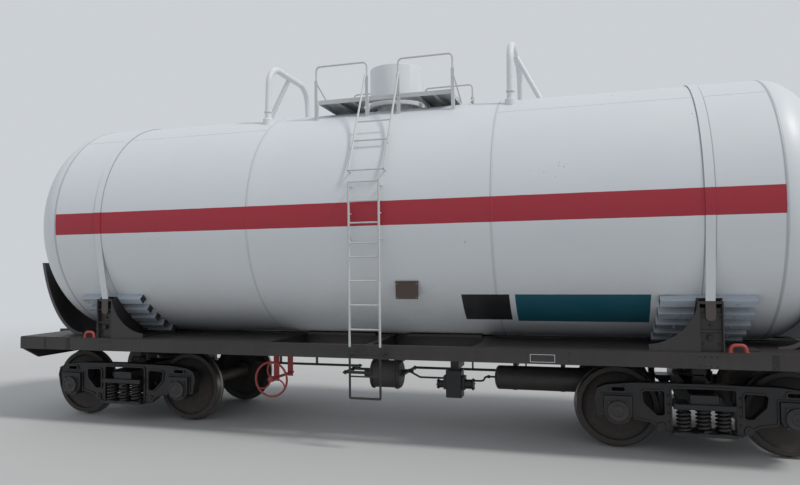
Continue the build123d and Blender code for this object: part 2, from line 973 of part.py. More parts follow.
# Air distributor: a cast body with a round chamber at each end
distributor_x = reservoir_start - 515
distributor_line = -590
distributor_bottom = sill_top - 768
distributor_top = sill_top - 410
distributor_half = (105, 110)
flank_half = (145, 70)
flank_heights = (distributor_bottom + 100, distributor_top - 78)
chambers = (
    # side, axis height, radius, reach, lid radius
    (1, distributor_top - 188, 62, 255, 78),
    (-1, distributor_top - 198, 50, 235, 64),
)
chamber_lid = 22
neck_half = 55
neck_top = centre_bottom + 55
body_round = 20
with BuildPart() as air_distributor:
    block(
        (distributor_x - distributor_half[0], distributor_x + distributor_half[0]),
        (distributor_line - distributor_half[1], distributor_line + distributor_half[1]),
        (distributor_bottom, distributor_top),
    )
    fillet(air_distributor.edges().filter_by(Axis.Z), body_round)
    block(
        (distributor_x - flank_half[0], distributor_x + flank_half[0]),
        (distributor_line - flank_half[1], distributor_line + flank_half[1]),
        flank_heights,
    )
    for side, height, radius, reach, lid in chambers:
        tip = distributor_x + side * reach
        rod((distributor_x, distributor_line, height), (tip, distributor_line, height), radius)
        rod((tip - side * chamber_lid, distributor_line, height), (tip, distributor_line, height), lid)
    block(
        (distributor_x - neck_half, distributor_x + neck_half),
        (distributor_line - body_round, -centre_half - seat_gap),
        (distributor_top, neck_top),
    )
keep(air_distributor, "air_distributor")

# Brake cylinder with its trunk and push rod
cylinder_x = distributor_x - 935
cylinder_line = -600
cylinder_axis = sill_top - 496
cylinder_radius = 184
cylinder_half = 180
lid_depth = 20
lid_radius = cylinder_radius + 16
cup_depth = 40
trunk_length = 130
trunk_radius = 48
push_length = 270
push_radius = 20
cylinder_hangers = (-120, 120)
hanger_half = 10
hanger_flange = 60
hanger_lap = 120
hanger_height = centre_bottom + 135
hanger_cap = 12
cylinder_round = 24
trunk_end = cylinder_x - cylinder_half - lid_depth - trunk_length
push_end = trunk_end - push_length
with BuildPart() as brake_cylinder:
    rod(
        (cylinder_x - cylinder_half, cylinder_line, cylinder_axis),
        (cylinder_x + cylinder_half + lid_depth, cylinder_line, cylinder_axis),
        cylinder_radius,
    )
    fillet(brake_cylinder.faces().sort_by(Axis.X)[-1].edges(), cylinder_round)
    for low, high, radius in (
        (cylinder_x + cylinder_half - cup_depth, cylinder_x + cylinder_half - lid_depth, lid_radius),
        (cylinder_x - cylinder_half - lid_depth, cylinder_x - cylinder_half, lid_radius),
        (trunk_end, cylinder_x - cylinder_half, trunk_radius),
        (push_end + seat_gap, trunk_end, push_radius),
    ):
        rod((low, cylinder_line, cylinder_axis), (high, cylinder_line, cylinder_axis), radius)
    for shift in cylinder_hangers:
        x = cylinder_x + shift
        across = (cylinder_line - hanger_flange, -centre_half - seat_gap)
        block((x - hanger_half, x + hanger_half), across, (cylinder_axis + hanger_lap, hanger_height))
        block(
            (x - hanger_flange, x + hanger_flange), across, (hanger_height - hanger_cap, hanger_height)
        )
keep(brake_cylinder, "brake_cylinder")

# Levers with rounded ends, and pull rods below the frame
lever_plate = 20
lever_width = 50
lever_overlap = 25
lever_reach = 60
rod_radius = 18
tie_line = -280
pull_reach = inner_axle - 625
hanger_shares = (0.4, 0.75)
rod_hanger_half = (8, 30)
lever_stations = (push_end - lever_overlap, cylinder_x + cylinder_half + lid_depth + lever_overlap + seat_gap)
with BuildPart() as brake_rods:
    for x in lever_stations:
        with BuildSketch(Plane.XY.offset(cylinder_axis)):
            with Locations((x, (cylinder_line) / 2)):
                SlotOverall(-cylinder_line + 2 * lever_reach, lever_width, rotation=90)
        extrude(amount=lever_plate / 2, both=True)
    rod((-pull_reach, 0, cylinder_axis), (lever_stations[0], 0, cylinder_axis), rod_radius)
    rod((lever_stations[1], 0, cylinder_axis), (pull_reach, 0, cylinder_axis), rod_radius)
    rod(
        (lever_stations[0], tie_line, cylinder_axis),
        (lever_stations[1], tie_line, cylinder_axis),
        rod_radius,
    )
    for share in hanger_shares:
        for lever_x, end in zip(lever_stations, (-1, 1)):
            x = lever_x + share * (end * pull_reach - lever_x)
            block(
                (x - rod_hanger_half[0], x + rod_hanger_half[0]),
                (-rod_hanger_half[1], rod_hanger_half[1]),
                (cylinder_axis, centre_bottom - seat_gap),
            )
keep(brake_rods, "brake_rods")

# Main brake pipe along the frame, clipped to the centre sill, broken where the body bolsters stand
pipe_line = 330
pipe_height = sill_top - 263
pipe_radius = 21
pipe_end = frame_half - 120
pipe_break = 150
clip_half = 15
clip_rise = 8
clip_stations = (frame_half - 400, frame_half - 1000, inner_axle - 375, inner_axle - 1975)
with BuildPart() as brake_pipe:
    for low, high in (
        (-pipe_end, -bogie_station - pipe_break),
        (pipe_break - bogie_station, bogie_station - pipe_break),
        (bogie_station + pipe_break, pipe_end),
    ):
        rod((low, pipe_line, pipe_height), (high, pipe_line, pipe_height), pipe_radius)
    for reach in clip_stations:
        for end in ends:
            x = end * reach
            block(
                (x - clip_half, x + clip_half),
                (centre_half + seat_gap, pipe_line),
                (pipe_height - clip_rise, pipe_height + clip_rise),
            )
keep(brake_pipe, "brake_pipe")

# Hand brake wheel with bent spokes, on its shaft and hanger
handwheel_share = 0.4175
handwheel_x = push_end - handwheel_share * (inner_axle - wheel_radius - flange_height + push_end)
handwheel_y = 150 - sill_face
handwheel_z = sill_top - 500
handwheel_radius = 225
handwheel_rim = 15
rim_sides = 8
spoke_radius = 10
spoke_bend = 28
spoke_angles = (90, 210, 330)
boss_radius = 38
boss_ends = (-30, 40)
shaft_radius = 18
shaft_end = -700
hanger_lines = (-1200, -780)
hanger_plate = 6
hanger_width = 40
hanger_top = sill_top - bearer_depth - seat_gap
hanger_beam = 12
hanger_drop = 45


def wheel_point(reach, angle):
    """A point in the hand wheel's own plane."""
    turn = radians(angle)
    return (handwheel_x + reach * cos(turn), handwheel_y, handwheel_z + reach * sin(turn))


with BuildPart() as hand_brake:
    with BuildSketch(Plane.YZ.offset(handwheel_x)):
        with Locations((handwheel_y, handwheel_z + handwheel_radius)):
            RegularPolygon(handwheel_rim, rim_sides)
    revolve(axis=Axis((handwheel_x, handwheel_y, handwheel_z), (0, 1, 0)))
    for angle in spoke_angles:
        with BuildLine() as spoke:
            ThreePointArc(
                wheel_point(boss_radius / 2, angle),
                wheel_point(handwheel_radius / 2, angle + spoke_bend),
                wheel_point(handwheel_radius, angle),
            )
        with BuildSketch(Plane(origin=spoke.line @ 0, z_dir=spoke.line % 0)):
            Circle(spoke_radius)
        sweep(path=spoke.line)
    rod(
        (handwheel_x, handwheel_y + boss_ends[0], handwheel_z),
        (handwheel_x, handwheel_y + boss_ends[1], handwheel_z),
        boss_radius,
    )
    rod((handwheel_x, handwheel_y, handwheel_z), (handwheel_x, shaft_end, handwheel_z), shaft_radius)
    across = (handwheel_x - hanger_width, handwheel_x + hanger_width)
    for y in hanger_lines:
        block(across, (y - hanger_plate, y + hanger_plate), (handwheel_z - hanger_drop, hanger_top))
    block(
        across,
        (hanger_lines[0] - hanger_width, hanger_lines[1] + hanger_width),
        (hanger_top - hanger_beam, hanger_top),
    )
keep(hand_brake, "hand_brake")

# Blank data plate in a holder on the barrel
plate_x = 506
plate_z = tank_axis - 0.591 * tank_radius
plate_line = skin_beside(plate_z) + 89
plate_half = (145, 105)
plate_thick = 14
roof_half = 150
roof_out = 10
roof_in = 60
roof_plate = 12
arm_offset = 110
arm_half = (10, 60)
arm_reach = 195
with BuildPart() as data_plate:
    block(
        (plate_x - plate_half[0], plate_x + plate_half[0]),
        (-plate_line, -plate_line + plate_thick),
        (plate_z - plate_half[1], plate_z + plate_half[1]),
    )
    block(
        (plate_x - roof_half, plate_x + roof_half),
        (-plate_line - roof_out, -plate_line + roof_in),
        (plate_z + plate_half[1], plate_z + plate_half[1] + roof_plate),
    )
    for x in (plate_x - arm_offset, plate_x + arm_offset):
        block(
            (x - arm_half[0], x + arm_half[0]),
            (-plate_line, arm_reach - plate_line),
            (plate_z - arm_half[1], plate_z + arm_half[1]),
        )
    tank_round(tank_radius + seat_gap, Mode.SUBTRACT)
keep(data_plate, "data_plate")

# Red lashing staples on the deck edges
staple_x = bogie_station + 300
staple_half = 85
staple_line = sill_face - 45
staple_rise = 80
staple_wire = 10
staple_bend = 30
with BuildPart() as lashing_staples:
    for end in ends:
        for side in sides:
            low = end * staple_x - staple_half
            high = end * staple_x + staple_half
            y = side * staple_line
            bent_tube(
                (
                    (low, y, deck_top),
                    (low, y, deck_top + staple_rise),
                    (high, y, deck_top + staple_rise),
                    (high, y, deck_top),
                ),
                staple_wire,
                staple_bend,
            )
keep(lashing_staples, "lashing_staples")

# Uncoupling levers across the ends, each on two brackets
lever_bar = 11
lever_height = sill_top - 98
lever_drop = 190
lever_out = sill_face - 120
lever_in = striker_half + 30
lever_clips = (1300, 700)
lever_clip_half = (22, 15)
lever_clip_heights = (lever_height - 20, lever_height + 25)
with BuildPart() as uncoupling_levers:
    for end in ends:
        x = end * (frame_half + lever_clip_half[0] + seat_gap)
        rod((x, -end * lever_out, lever_height), (x, -end * lever_in, lever_height), lever_bar)
        rod((x, -end * lever_out, lever_height), (x, -end * lever_out, lever_height - lever_drop), lever_bar)
        for y in lever_clips:
            block(
                (x - lever_clip_half[0], x + lever_clip_half[0]),
                (-end * (y - lever_clip_half[1]), -end * (y + lever_clip_half[1])),
                lever_clip_heights,
            )
keep(uncoupling_levers, "uncoupling_levers")

# Bogies: side frames, axle boxes, springs, bolster and brakes, at each end
jaw_half = box_half + 5
jaw_x = wheelbase / 2
jaw_top = axle_height + box_rise + seat_gap
side_frame_half = (
    # along from the bogie's middle, height: the lower edge, the jaw and the upper edge
    (0, frame_bottom),
    (395, frame_bottom),
    (560, frame_bottom + 115),
    (690, frame_bottom + 140),
    (jaw_x - jaw_half - 10, frame_bottom + 150),
    (jaw_x - jaw_half, frame_bottom + 190),
    (jaw_x - jaw_half, jaw_top),
    (jaw_x + jaw_half, jaw_top),
    (jaw_x + jaw_half, frame_bottom + 180),
    (frame_end - 40, frame_bottom + 175),
    (frame_end, frame_bottom + 380),
    (frame_end - 30, frame_top - 85),
    (frame_end - 130, frame_top - 42),
    (frame_corner, frame_top - 8),
    (0, frame_top),
)
side_opening = (
    # along from the bogie's middle, height: the opening beside the spring window
    (415, frame_top - 93),
    (660, frame_top - 101),
    (640, frame_top - 233),
    (500, frame_top - 373),
    (415, frame_top - 373),
)
opening_round = 32
slot_drop = 88
slot_length = 150
slot_height = 44
slot_shift = 6
bolster_half_section = (
    # across, height: from the middle of the lower edge round to the middle of the upper one
    (0, bolster_middle_bottom),
    (500, bolster_middle_bottom),
    (830, bolster_end_bottom),
    (bolster_reach, bolster_end_bottom),
    (bolster_reach, bolster_end_top),
    (930, bolster_end_top),
    (880, bolster_top),
    (0, bolster_top),
)
spring_seat = 60
side_bearer = (60, 80)
shoe_gap = 6
shoe_edge = 8
shoe_inner = wheel_radius + shoe_gap
shoe_low = wheel_back + rim_width - shoe_width - shoe_edge
beam_height = axle_height - 30
beam_inset = 25
beam_radius = 32
beam_half = 700
trunnion_radius = 22
trunnion_end = frame_line - frame_thickness / 2 - seat_gap
head_depth_in = 12
head_heights = (beam_height - 60, beam_height + 80)


def side_frame_face(middle, y, rim=0):
    """One side frame seen from the side, with its windows and slots, or only a rim round them."""
    with BuildSketch(side_plane(y)) as face:
        with BuildLine():
            Polyline(*((middle + along, height) for along, height in side_frame_half))
            Line((middle, frame_top), (middle, frame_bottom))
        make_face()
        mirror(about=Plane.YZ.offset(middle))
        with Locations((middle, (shelf_top + window_top) / 2)):
            RectangleRounded(2 * window_half, window_top - shelf_top, window_corner, mode=Mode.SUBTRACT)
        for way in ends:
            with Locations((middle + way * (jaw_x - slot_shift), frame_top - slot_drop)):
                SlotOverall(slot_length, slot_height, mode=Mode.SUBTRACT)
            with BuildLine():
                FilletPolyline(
                    *((middle + way * along, height) for along, height in side_opening),
                    close=True,
                    radius=opening_round,
                )
            make_face(mode=Mode.SUBTRACT)
        if rim:
            offset(amount=-rim, kind=Kind.INTERSECTION, mode=Mode.SUBTRACT)
    return face.sketch


for end, letter in end_names:
    middle = end * bogie_station
    name = "bogie_" + letter
    with BuildPart() as side_frames:
        for side in sides:
            extrude(side_frame_face(middle, side * frame_line), amount=frame_thickness / 2, both=True)
            outer_face = side * (frame_line + frame_thickness / 2)
            extrude(side_frame_face(middle, outer_face, frame_rim), amount=-side * rim_rise)
            block(
                (middle - window_half, middle + window_half),
                (side * (frame_line - shelf_depth / 2), side * (frame_line + shelf_depth / 2)),
                (frame_bottom, shelf_top),
            )
    keep(side_frames, name + "_side_frames")

    with BuildPart() as axle_boxes:
        for side in sides:
            for way in ends:
                x = middle + way * jaw_x
                with BuildSketch(side_plane(side * box_inner)):
                    with Locations((x, axle_height + box_rise / 2)):
                        Rectangle(2 * box_half, box_rise)
                    with Locations((x, axle_height)):
                        Circle(box_half)
                extrude(amount=-side * (box_outer - box_inner))
                rod(
                    (x, side * box_outer, axle_height),
                    (x, side * (box_outer + cap_depth), axle_height),
                    cap_radius,
                )
                rod(
                    (x, side * (box_inner - rim_rise), axle_height),
                    (x, side * (box_inner + journal_length), axle_height),
                    journal_radius + bore_gap,
                    mode=Mode.SUBTRACT,
                )
    keep(axle_boxes, name + "_axle_boxes")

    with BuildPart() as springs:
        for side in sides:
            for column in (-1, 0, 1):
                for row in (-1, 1):
                    x = middle + column * spring_pitch
                    y = side * frame_line + row * spring_row
                    rod((x, y, shelf_top + seat_gap), (x, y, bolster_end_bottom - seat_gap), spring_radius)
    keep(springs, name + "_springs")

    with BuildPart() as bolster:
        with BuildSketch(Plane.YZ.offset(middle)):
            with BuildLine():
                Polyline(*bolster_half_section, close=True)
            make_face()
            mirror(about=Plane.YZ)
        extrude(amount=bolster_half, both=True)
        for side in sides:
            block(
                (middle - window_half + swing_gap, middle + window_half - swing_gap),
                (side * (frame_line - shelf_depth / 2), side * (frame_line + shelf_depth / 2)),
                (bolster_end_bottom, bolster_end_bottom + spring_seat),
            )
            block(
                (middle - side_bearer[0], middle + side_bearer[0]),
                (side * (bearer_line - side_bearer[1]), side * (bearer_line + side_bearer[1])),
                (bolster_top, bearer_top),
            )
        rod((middle, 0, bolster_top), (middle, 0, plate_height + bowl_rise), bowl_radius)
        rod(
            (middle, 0, plate_height),
            (middle, 0, plate_height + 2 * bowl_rise),
            plate_radius + plate_clear,
            mode=Mode.SUBTRACT,
        )
        rod(
            (middle, 0, bolster_middle_bottom - bowl_rise),
            (middle, 0, plate_height + bowl_rise),
            pin_radius + bore_gap,
            mode=Mode.SUBTRACT,
        )
    keep(bolster, name + "_bolster")

    with BuildPart() as brakes:
        for way in ends:
            axle_x = middle + way * jaw_x
            face = axle_x - way * (shoe_inner + shoe_thickness)
            beam_x = face - way * beam_inset
            for side in sides:
                with BuildSketch(side_plane(side * shoe_low)):
                    Circle(shoe_inner + shoe_thickness)
                    Circle(shoe_inner, mode=Mode.SUBTRACT)
                    with Locations((shoe_inner, 0)):
                        Rectangle(4 * shoe_thickness, shoe_height, mode=Mode.INTERSECT)
                placed = extrude(amount=-side * shoe_width, mode=Mode.PRIVATE)
                turned = placed.rotate(Axis.Y, 180 if way > 0 else 0)
                add(turned.moved(Location((axle_x, 0, axle_height))))
                block(
                    (beam_x, face + way * head_depth_in),
                    (side * shoe_low, side * (shoe_low + shoe_width)),
                    head_heights,
                )
            rod((beam_x, -trunnion_end, beam_height), (beam_x, trunnion_end, beam_height), trunnion_radius)
            rod((beam_x, -beam_half, beam_height), (beam_x, beam_half, beam_height), beam_radius)
    keep(brakes, name + "_brakes")

# Wheelsets: two wheels on one axle, four in the car
journal_end = box_inner + journal_length - 10
seat_step = (40, 10)
collar_step_out = 10
journal_step = (12, 2)
collar_radius = journal_radius + 16
hub_edge = hub_radius - 8
rim_inner = wheel_radius - rim_depth
web_back = (
    # across, radius: the wheel's back face from hub to rim
    (hub_inner, hub_edge),
    (hub_inner + 50, hub_radius + 17),
    (wheel_back + 44, wheel_radius - 218.5),
    (wheel_back + 45, wheel_radius - 148.5),
    (wheel_back, rim_inner),
)
web_front = (
    # across, radius: the wheel's front face from rim to hub
    (wheel_back + rim_width, rim_inner),
    (wheel_back + 69, wheel_radius - 148.5),
    (wheel_back + 74, wheel_radius - 228.5),
    (wheel_back + 98, hub_radius + 32),
    (hub_outer, hub_edge),
)
tread_profile = (
    # across from the wheel's back, radius from the running circle
    (0, flange_height - 10),
    (10, flange_height),
    (20, flange_height),
    (33, 8),
    (46, 1),
    (rim_width - 6, -4),
    (rim_width, -10),
)
for number, station in enumerate((outer_axle, inner_axle, -inner_axle, -outer_axle), start=1):
    spin = Axis((station, 0, axle_height), (0, 1, 0))
    across_plane = Plane(origin=(station, 0, axle_height), x_dir=(0, 1, 0), z_dir=(1, 0, 0))
    with BuildPart() as axle:
        with BuildSketch(across_plane):
            with BuildLine():
                Polyline(
                    (0, 0),
                    (0, axle_middle_radius),
                    (hub_inner - seat_step[0], axle_middle_radius),
                    (hub_inner - seat_step[1], axle_seat_radius),
                    (hub_outer, axle_seat_radius),
                    (hub_outer + collar_step_out, collar_radius),
                    (box_inner - journal_step[0], collar_radius),
                    (box_inner - journal_step[1], journal_radius),
                    (journal_end, journal_radius),
                    (journal_end, 0),
                    close=True,
                )
            make_face()
            mirror(about=Plane.YZ)
        revolve(axis=spin)
    keep(axle, f"axle_{number}")

    with BuildPart() as wheels:
        with BuildSketch(across_plane):
            with BuildLine():
                Line((hub_inner, axle_seat_radius + bore_gap), web_back[0])
                Spline(*web_back)
                Polyline(
                    web_back[-1],
                    *((wheel_back + along, wheel_radius + rise) for along, rise in tread_profile),
                    web_front[0],
                )
                Spline(*web_front)
                Polyline(
                    web_front[-1],
                    (hub_outer, axle_seat_radius + bore_gap),
                    (hub_inner, axle_seat_radius + bore_gap),
                )
            make_face()
            mirror(about=Plane.YZ)
        revolve(axis=spin)
    keep(wheels, f"wheels_{number}")
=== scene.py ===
"""Looks of the four-axle railway tank car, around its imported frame. Metres, X along the car."""
from math import cos, pi, radians, sin, sqrt, tan

import bmesh
import bpy
from mathutils import Matrix, Vector


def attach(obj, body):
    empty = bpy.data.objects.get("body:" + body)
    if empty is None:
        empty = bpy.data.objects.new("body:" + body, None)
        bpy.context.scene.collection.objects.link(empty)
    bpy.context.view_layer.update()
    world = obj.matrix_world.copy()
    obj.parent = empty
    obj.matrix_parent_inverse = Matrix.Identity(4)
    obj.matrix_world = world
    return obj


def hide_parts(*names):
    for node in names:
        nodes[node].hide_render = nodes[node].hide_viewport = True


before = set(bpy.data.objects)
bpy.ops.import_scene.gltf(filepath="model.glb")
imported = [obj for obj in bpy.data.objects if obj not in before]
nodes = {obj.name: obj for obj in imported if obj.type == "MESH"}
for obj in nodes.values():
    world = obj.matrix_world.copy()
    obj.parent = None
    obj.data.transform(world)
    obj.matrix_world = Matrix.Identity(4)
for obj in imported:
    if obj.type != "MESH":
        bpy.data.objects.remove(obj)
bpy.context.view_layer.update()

# Driving sizes, as in the frame
RAIL_GAP = 0.028
TANK_RADIUS = 1.62
TANK_AXIS = 2.876
HEAD_SEAM = 4.674
HEAD_DEPTH = 0.835
RING_SEAMS = (-1.6, 1.6)
STRIPE_HALF = 0.15
SADDLE_X = 3.94
BOGIE_X = 3.9
AXLE_OFFSET = 0.925
AXLE_Z = 0.5065
BAND_HALF = 0.05
SILL_FACE = 1.5
SILL_TOP = 1.248
SILL_BOTTOM = 1.076
ENDS = (1, -1)
SIDES = (-1, 1)
CORNERS = tuple((end, side) for end in ENDS for side in SIDES)

# Camera, fitted to the photograph
PHOTO_WIDTH = 800
FOCAL_PIXELS = 645.26
SENSOR = 36.0
EYE = Vector((2.6751, -9.1255, 2.1762 + RAIL_GAP))
YAW = -0.2831
PITCH = 0.0390
ROLL = -0.0112


def make_camera():
    forward = Vector((sin(YAW) * cos(PITCH), cos(YAW) * cos(PITCH), sin(PITCH)))
    right = Vector((cos(YAW), -sin(YAW), 0))
    up = right.cross(forward)
    across = right * cos(ROLL) + up * sin(ROLL)
    rise = up * cos(ROLL) - right * sin(ROLL)
    camera = bpy.data.objects.new("camera", bpy.data.cameras.new("camera"))
    camera.data.sensor_width = SENSOR
    camera.data.lens = FOCAL_PIXELS / PHOTO_WIDTH * SENSOR
    camera.data.clip_end = 1000
    turn = Matrix((across, rise, -forward)).transposed().to_4x4()
    camera.matrix_world = Matrix.Translation(EYE) @ turn
    bpy.context.scene.collection.objects.link(camera)
    bpy.context.scene.camera = camera


# Shader helpers
def put(tree, kind, values=None, **settings):
    """Adds a shader node; a socket given as a value is linked."""
    made = tree.nodes.new("ShaderNode" + kind)
    for key, value in settings.items():
        setattr(made, key, value)
    for key, value in (values or {}).items():
        if isinstance(value, bpy.types.NodeSocket):
            tree.links.new(value, made.inputs[key])
        else:
            made.inputs[key].default_value = value
    return made


def math_node(tree, operation, first, second=0.0, third=0.0):
    values = {0: first, 1: second}
    if operation == "MULTIPLY_ADD":
        values[2] = third
    return put(tree, "Math", values, operation=operation).outputs[0]


def ramp(tree, value, low, high):
    """Runs from 0 at low to 1 at high, smoothly."""
    return put(
        tree,
        "MapRange",
        {"Value": value, "From Min": low, "From Max": high},
        interpolation_type="SMOOTHSTEP",
    ).outputs["Result"]


def blend_colour(tree, share, first, second):
    return put(tree, "Mix", {0: share, 6: first, 7: second}, data_type="RGBA").outputs[2]


def shade(colour, share):
    """The colour made lighter or darker by a share."""
    return tuple(min(1.0, c * share) for c in colour[:3]) + (1,)


def noise(tree, position, scale, detail=4.0, stretch=(1, 1, 1)):
    turned = put(tree, "Mapping", {"Vector": position, "Scale": stretch})
    values = {"Vector": turned.outputs[0], "Scale": scale, "Detail": detail}
    return put(tree, "TexNoise", values).outputs["Fac"]


def new_group(name, inputs, outputs):
    tree = bpy.data.node_groups.new(name, "ShaderNodeTree")
    for label, kind, value in inputs:
        socket = tree.interface.new_socket(label, in_out="INPUT", socket_type="NodeSocket" + kind)
        if value is not None:
            socket.default_value = value
    for label, kind in outputs:
        tree.interface.new_socket(label, in_out="OUTPUT", socket_type="NodeSocket" + kind)
    return tree, tree.nodes.new("NodeGroupInput"), tree.nodes.new("NodeGroupOutput")


def make_road_film():
    """Dust and road dirt that thins out with height, broken up and streaked downwards."""
    tree, start, end = new_group(
        "road_film",
        (
            ("Position", "Vector", None),
            ("Clean", "Color", (1, 1, 1, 1)),
            ("Film", "Color", (0.2, 0.17, 0.14, 1)),
            ("Low", "Float", 0.0),
            ("High", "Float", 1.0),
            ("Amount", "Float", 0.5),
            ("Base Amount", "Float", 0.1),
        ),
        (("Color", "Color"), ("Mask", "Float")),
    )
    position = start.outputs["Position"]
    height = put(tree, "SeparateXYZ", {0: position}).outputs["Z"]
    rise = ramp(tree, height, start.outputs["High"], start.outputs["Low"])
    cloud = ramp(tree, noise(tree, position, 2.2, 6.0), 0.3, 0.7)
    streak = ramp(tree, noise(tree, position, 14.0, 3.0, (1, 1, 0.06)), 0.35, 0.75)
    broken = math_node(tree, "MULTIPLY_ADD", cloud, 0.55, 0.25)
    broken = math_node(tree, "MULTIPLY_ADD", streak, 0.35, broken)
    rising = math_node(tree, "MULTIPLY", rise, start.outputs["Amount"])
    total = math_node(tree, "ADD", rising, start.outputs["Base Amount"])
    mask = put(tree, "Math", {0: total, 1: broken}, operation="MULTIPLY", use_clamp=True).outputs[0]
    colour = blend_colour(tree, mask, start.outputs["Clean"], start.outputs["Film"])
    tree.links.new(colour, end.inputs["Color"])
    tree.links.new(mask, end.inputs["Mask"])
    return tree


def make_chips():
    """Small worn or rusted spots, gathered in patches."""
    tree, start, end = new_group(
        "chips",
        (
            ("Position", "Vector", None),
            ("Scale", "Float", 40.0),
            ("Amount", "Float", 0.5),
        ),
        (("Mask", "Float"),),
    )
    position = start.outputs["Position"]
    scaled = put(tree, "VectorMath", {0: position, "Scale": start.outputs["Scale"]}, operation="SCALE")
    values = {"Vector": scaled.outputs[0], "Scale": 1.0, "Detail": 6.0}
    grain = put(tree, "TexNoise", values).outputs["Fac"]
    patch = noise(tree, position, 1.7, 3.0)
    mixed = math_node(tree, "MULTIPLY_ADD", patch, 0.45, grain)
    edge = math_node(tree, "SUBTRACT", 1.02, math_node(tree, "MULTIPLY", start.outputs["Amount"], 0.3))
    mask = put(
        tree,
        "MapRange",
        {"Value": mixed, "From Min": edge, "From Max": math_node(tree, "ADD", edge, 0.04)},
    ).outputs["Result"]
    tree.links.new(mask, end.inputs["Mask"])
    return tree


def make_painted_panel():
    """A rectangle painted on the shell, told by how far along and how high a point lies."""
    tree, start, end = new_group(
        "painted_panel",
        (
            ("Along", "Float", 0.0),
            ("Height", "Float", 0.0),
            ("Low Along", "Float", 0.0),
            ("High Along", "Float", 1.0),
            ("Low Height", "Float", 0.0),
            ("High Height", "Float", 1.0),
        ),
        (("Mask", "Float"),),
    )
    soft = 0.0015

    def inside(value, low, high):
        above = math_node(tree, "SUBTRACT", start.outputs[value], start.outputs[low])
        below = math_node(tree, "SUBTRACT", start.outputs[high], start.outputs[value])
        past_low = ramp(tree, above, -soft, soft)
        short_of_high = ramp(tree, below, -soft, soft)
        return math_node(tree, "MULTIPLY", past_low, short_of_high)

    mask = math_node(
        tree,
        "MULTIPLY",
        inside("Along", "Low Along", "High Along"),
        inside("Height", "Low Height", "High Height"),
    )
    tree.links.new(mask, end.inputs["Mask"])
    return tree


ROAD_FILM = make_road_film()
CHIPS = make_chips()
PAINTED_PANEL = make_painted_panel()


def use_group(tree, group, values):
    return put(tree, "Group", values, node_tree=group)


def new_material(name):
    material = bpy.data.materials.new(name)
    material.use_nodes = True
    tree = material.node_tree
    shader = tree.nodes["Principled BSDF"]
    position = tree.nodes.new("ShaderNodeTexCoord").outputs["Object"]
    return material, tree, shader, position


# How much rougher dirt and rust are than the paint, and how soft the clear coat is
DIRT_ROUGHNESS = 0.45
COAT_ROUGHNESS = 0.28


def finish_paint(tree, shader, position, clean, film, rust, roughness, coat, grain):
    """Dirt over the paint, rust in its chips and a fine bump, wired to the shader.

    film is (colour, low, high, amount, base amount), rust is (colour, scale, amount),
    grain is (scale, strength, distance).
    """
    labels = ("Position", "Clean", "Film", "Low", "High", "Amount", "Base Amount")
    dirt = use_group(tree, ROAD_FILM, dict(zip(labels, (position, clean, *film))))
    rust_colour, rust_scale, rust_amount = rust
    values = {"Position": position, "Scale": rust_scale, "Amount": rust_amount}
    chips = use_group(tree, CHIPS, values).outputs["Mask"]
    colour = blend_colour(tree, chips, dirt.outputs["Color"], rust_colour)
    tree.links.new(colour, shader.inputs["Base Color"])
    worn = math_node(tree, "MAXIMUM", dirt.outputs["Mask"], chips)
    roughest = min(1.0, roughness + DIRT_ROUGHNESS)
    rough = put(tree, "MapRange", {"Value": worn, "To Min": roughness, "To Max": roughest})
    tree.links.new(rough.outputs["Result"], shader.inputs["Roughness"])
    if coat:
        clear = put(tree, "MapRange", {"Value": worn, "To Min": coat, "To Max": 0.0})
        tree.links.new(clear.outputs["Result"], shader.inputs["Coat Weight"])
        shader.inputs["Coat Roughness"].default_value = COAT_ROUGHNESS
    scale, strength, distance = grain
    height = math_node(tree, "SUBTRACT", noise(tree, position, scale, 5.0), chips)
    bump = put(tree, "Bump", {"Height": height, "Strength": strength, "Distance": distance})
    tree.links.new(bump.outputs["Normal"], shader.inputs["Normal"])


# Grain in the surface: scale, strength, distance
PAINT_GRAIN = (60, 0.15, 0.002)
SMOOTH = (9, 0.08, 0.01)
SANDY = (90, 0.4, 0.004)
SAWN = (70, 0.5, 0.004)


def painted(name, colour, film, rust, roughness, coat=0.0, grain=PAINT_GRAIN):
    """A paint of one colour, a little uneven, with the film and rust of finish_paint."""
    material, tree, shader, position = new_material(name)
    tone = noise(tree, position, 1.3, 3.0)
    clean = blend_colour(tree, tone, shade(colour, 0.88), shade(colour, 1.12))
    finish_paint(tree, shader, position, clean, film, rust, roughness, coat, grain)
    return material


# Finishes, as they look in even light
WHITE = (0.72, 0.745, 0.77, 1)
STRIPE_RED = (0.38, 0.014, 0.033, 1)
TEAL = (0.005, 0.095, 0.135, 1)
PANEL_BLACK = (0.008, 0.009, 0.012, 1)
FRAME_BROWN = (0.027, 0.023, 0.024, 1)
CAST_BLACK = (0.0085, 0.0085, 0.0105, 1)
ROAD_DUST = (0.085, 0.074, 0.065, 1)
RUST = (0.16, 0.06, 0.025, 1)
TIMBER_BLUE = (0.45, 0.50, 0.57, 1)
TIMBER_END = (0.030, 0.030, 0.038, 1)
PLATFORM_GREY = (0.60, 0.62, 0.63, 1)
SIGNAL_RED = (0.33, 0.03, 0.035, 1)
STAPLE_RED = (0.42, 0.055, 0.045, 1)
PLATE_BROWN = (0.075, 0.045, 0.035, 1)
SHELL_DUST = (0.30, 0.285, 0.255, 1)
# Darker lines on the shell: dirt and painted shade at the seams, painted shadow of the gaps beside the
# band edges
SEAM_SHADE_GREY = (0.27, 0.29, 0.32, 1)
SHELL_DARK = (0.645, 0.675, 0.71, 1)
SHELL_LIGHT = (0.70, 0.725, 0.75, 1)
PALE_STEEL = (0.42, 0.43, 0.44, 1)
TONGUE_BROWN = (0.075, 0.062, 0.055, 1)
CAP_BLACK = (0.020, 0.019, 0.022, 1)
# Painted highlight: the paler grey of the head shields' outer ribs stands in for sky light on them
EDGE_HIGHLIGHT_GREY = (0.10, 0.098, 0.095, 1)
TIMBER_PALE = (0.40, 0.445, 0.505, 1)
TIMBER_BARE = (0.25, 0.265, 0.28, 1)
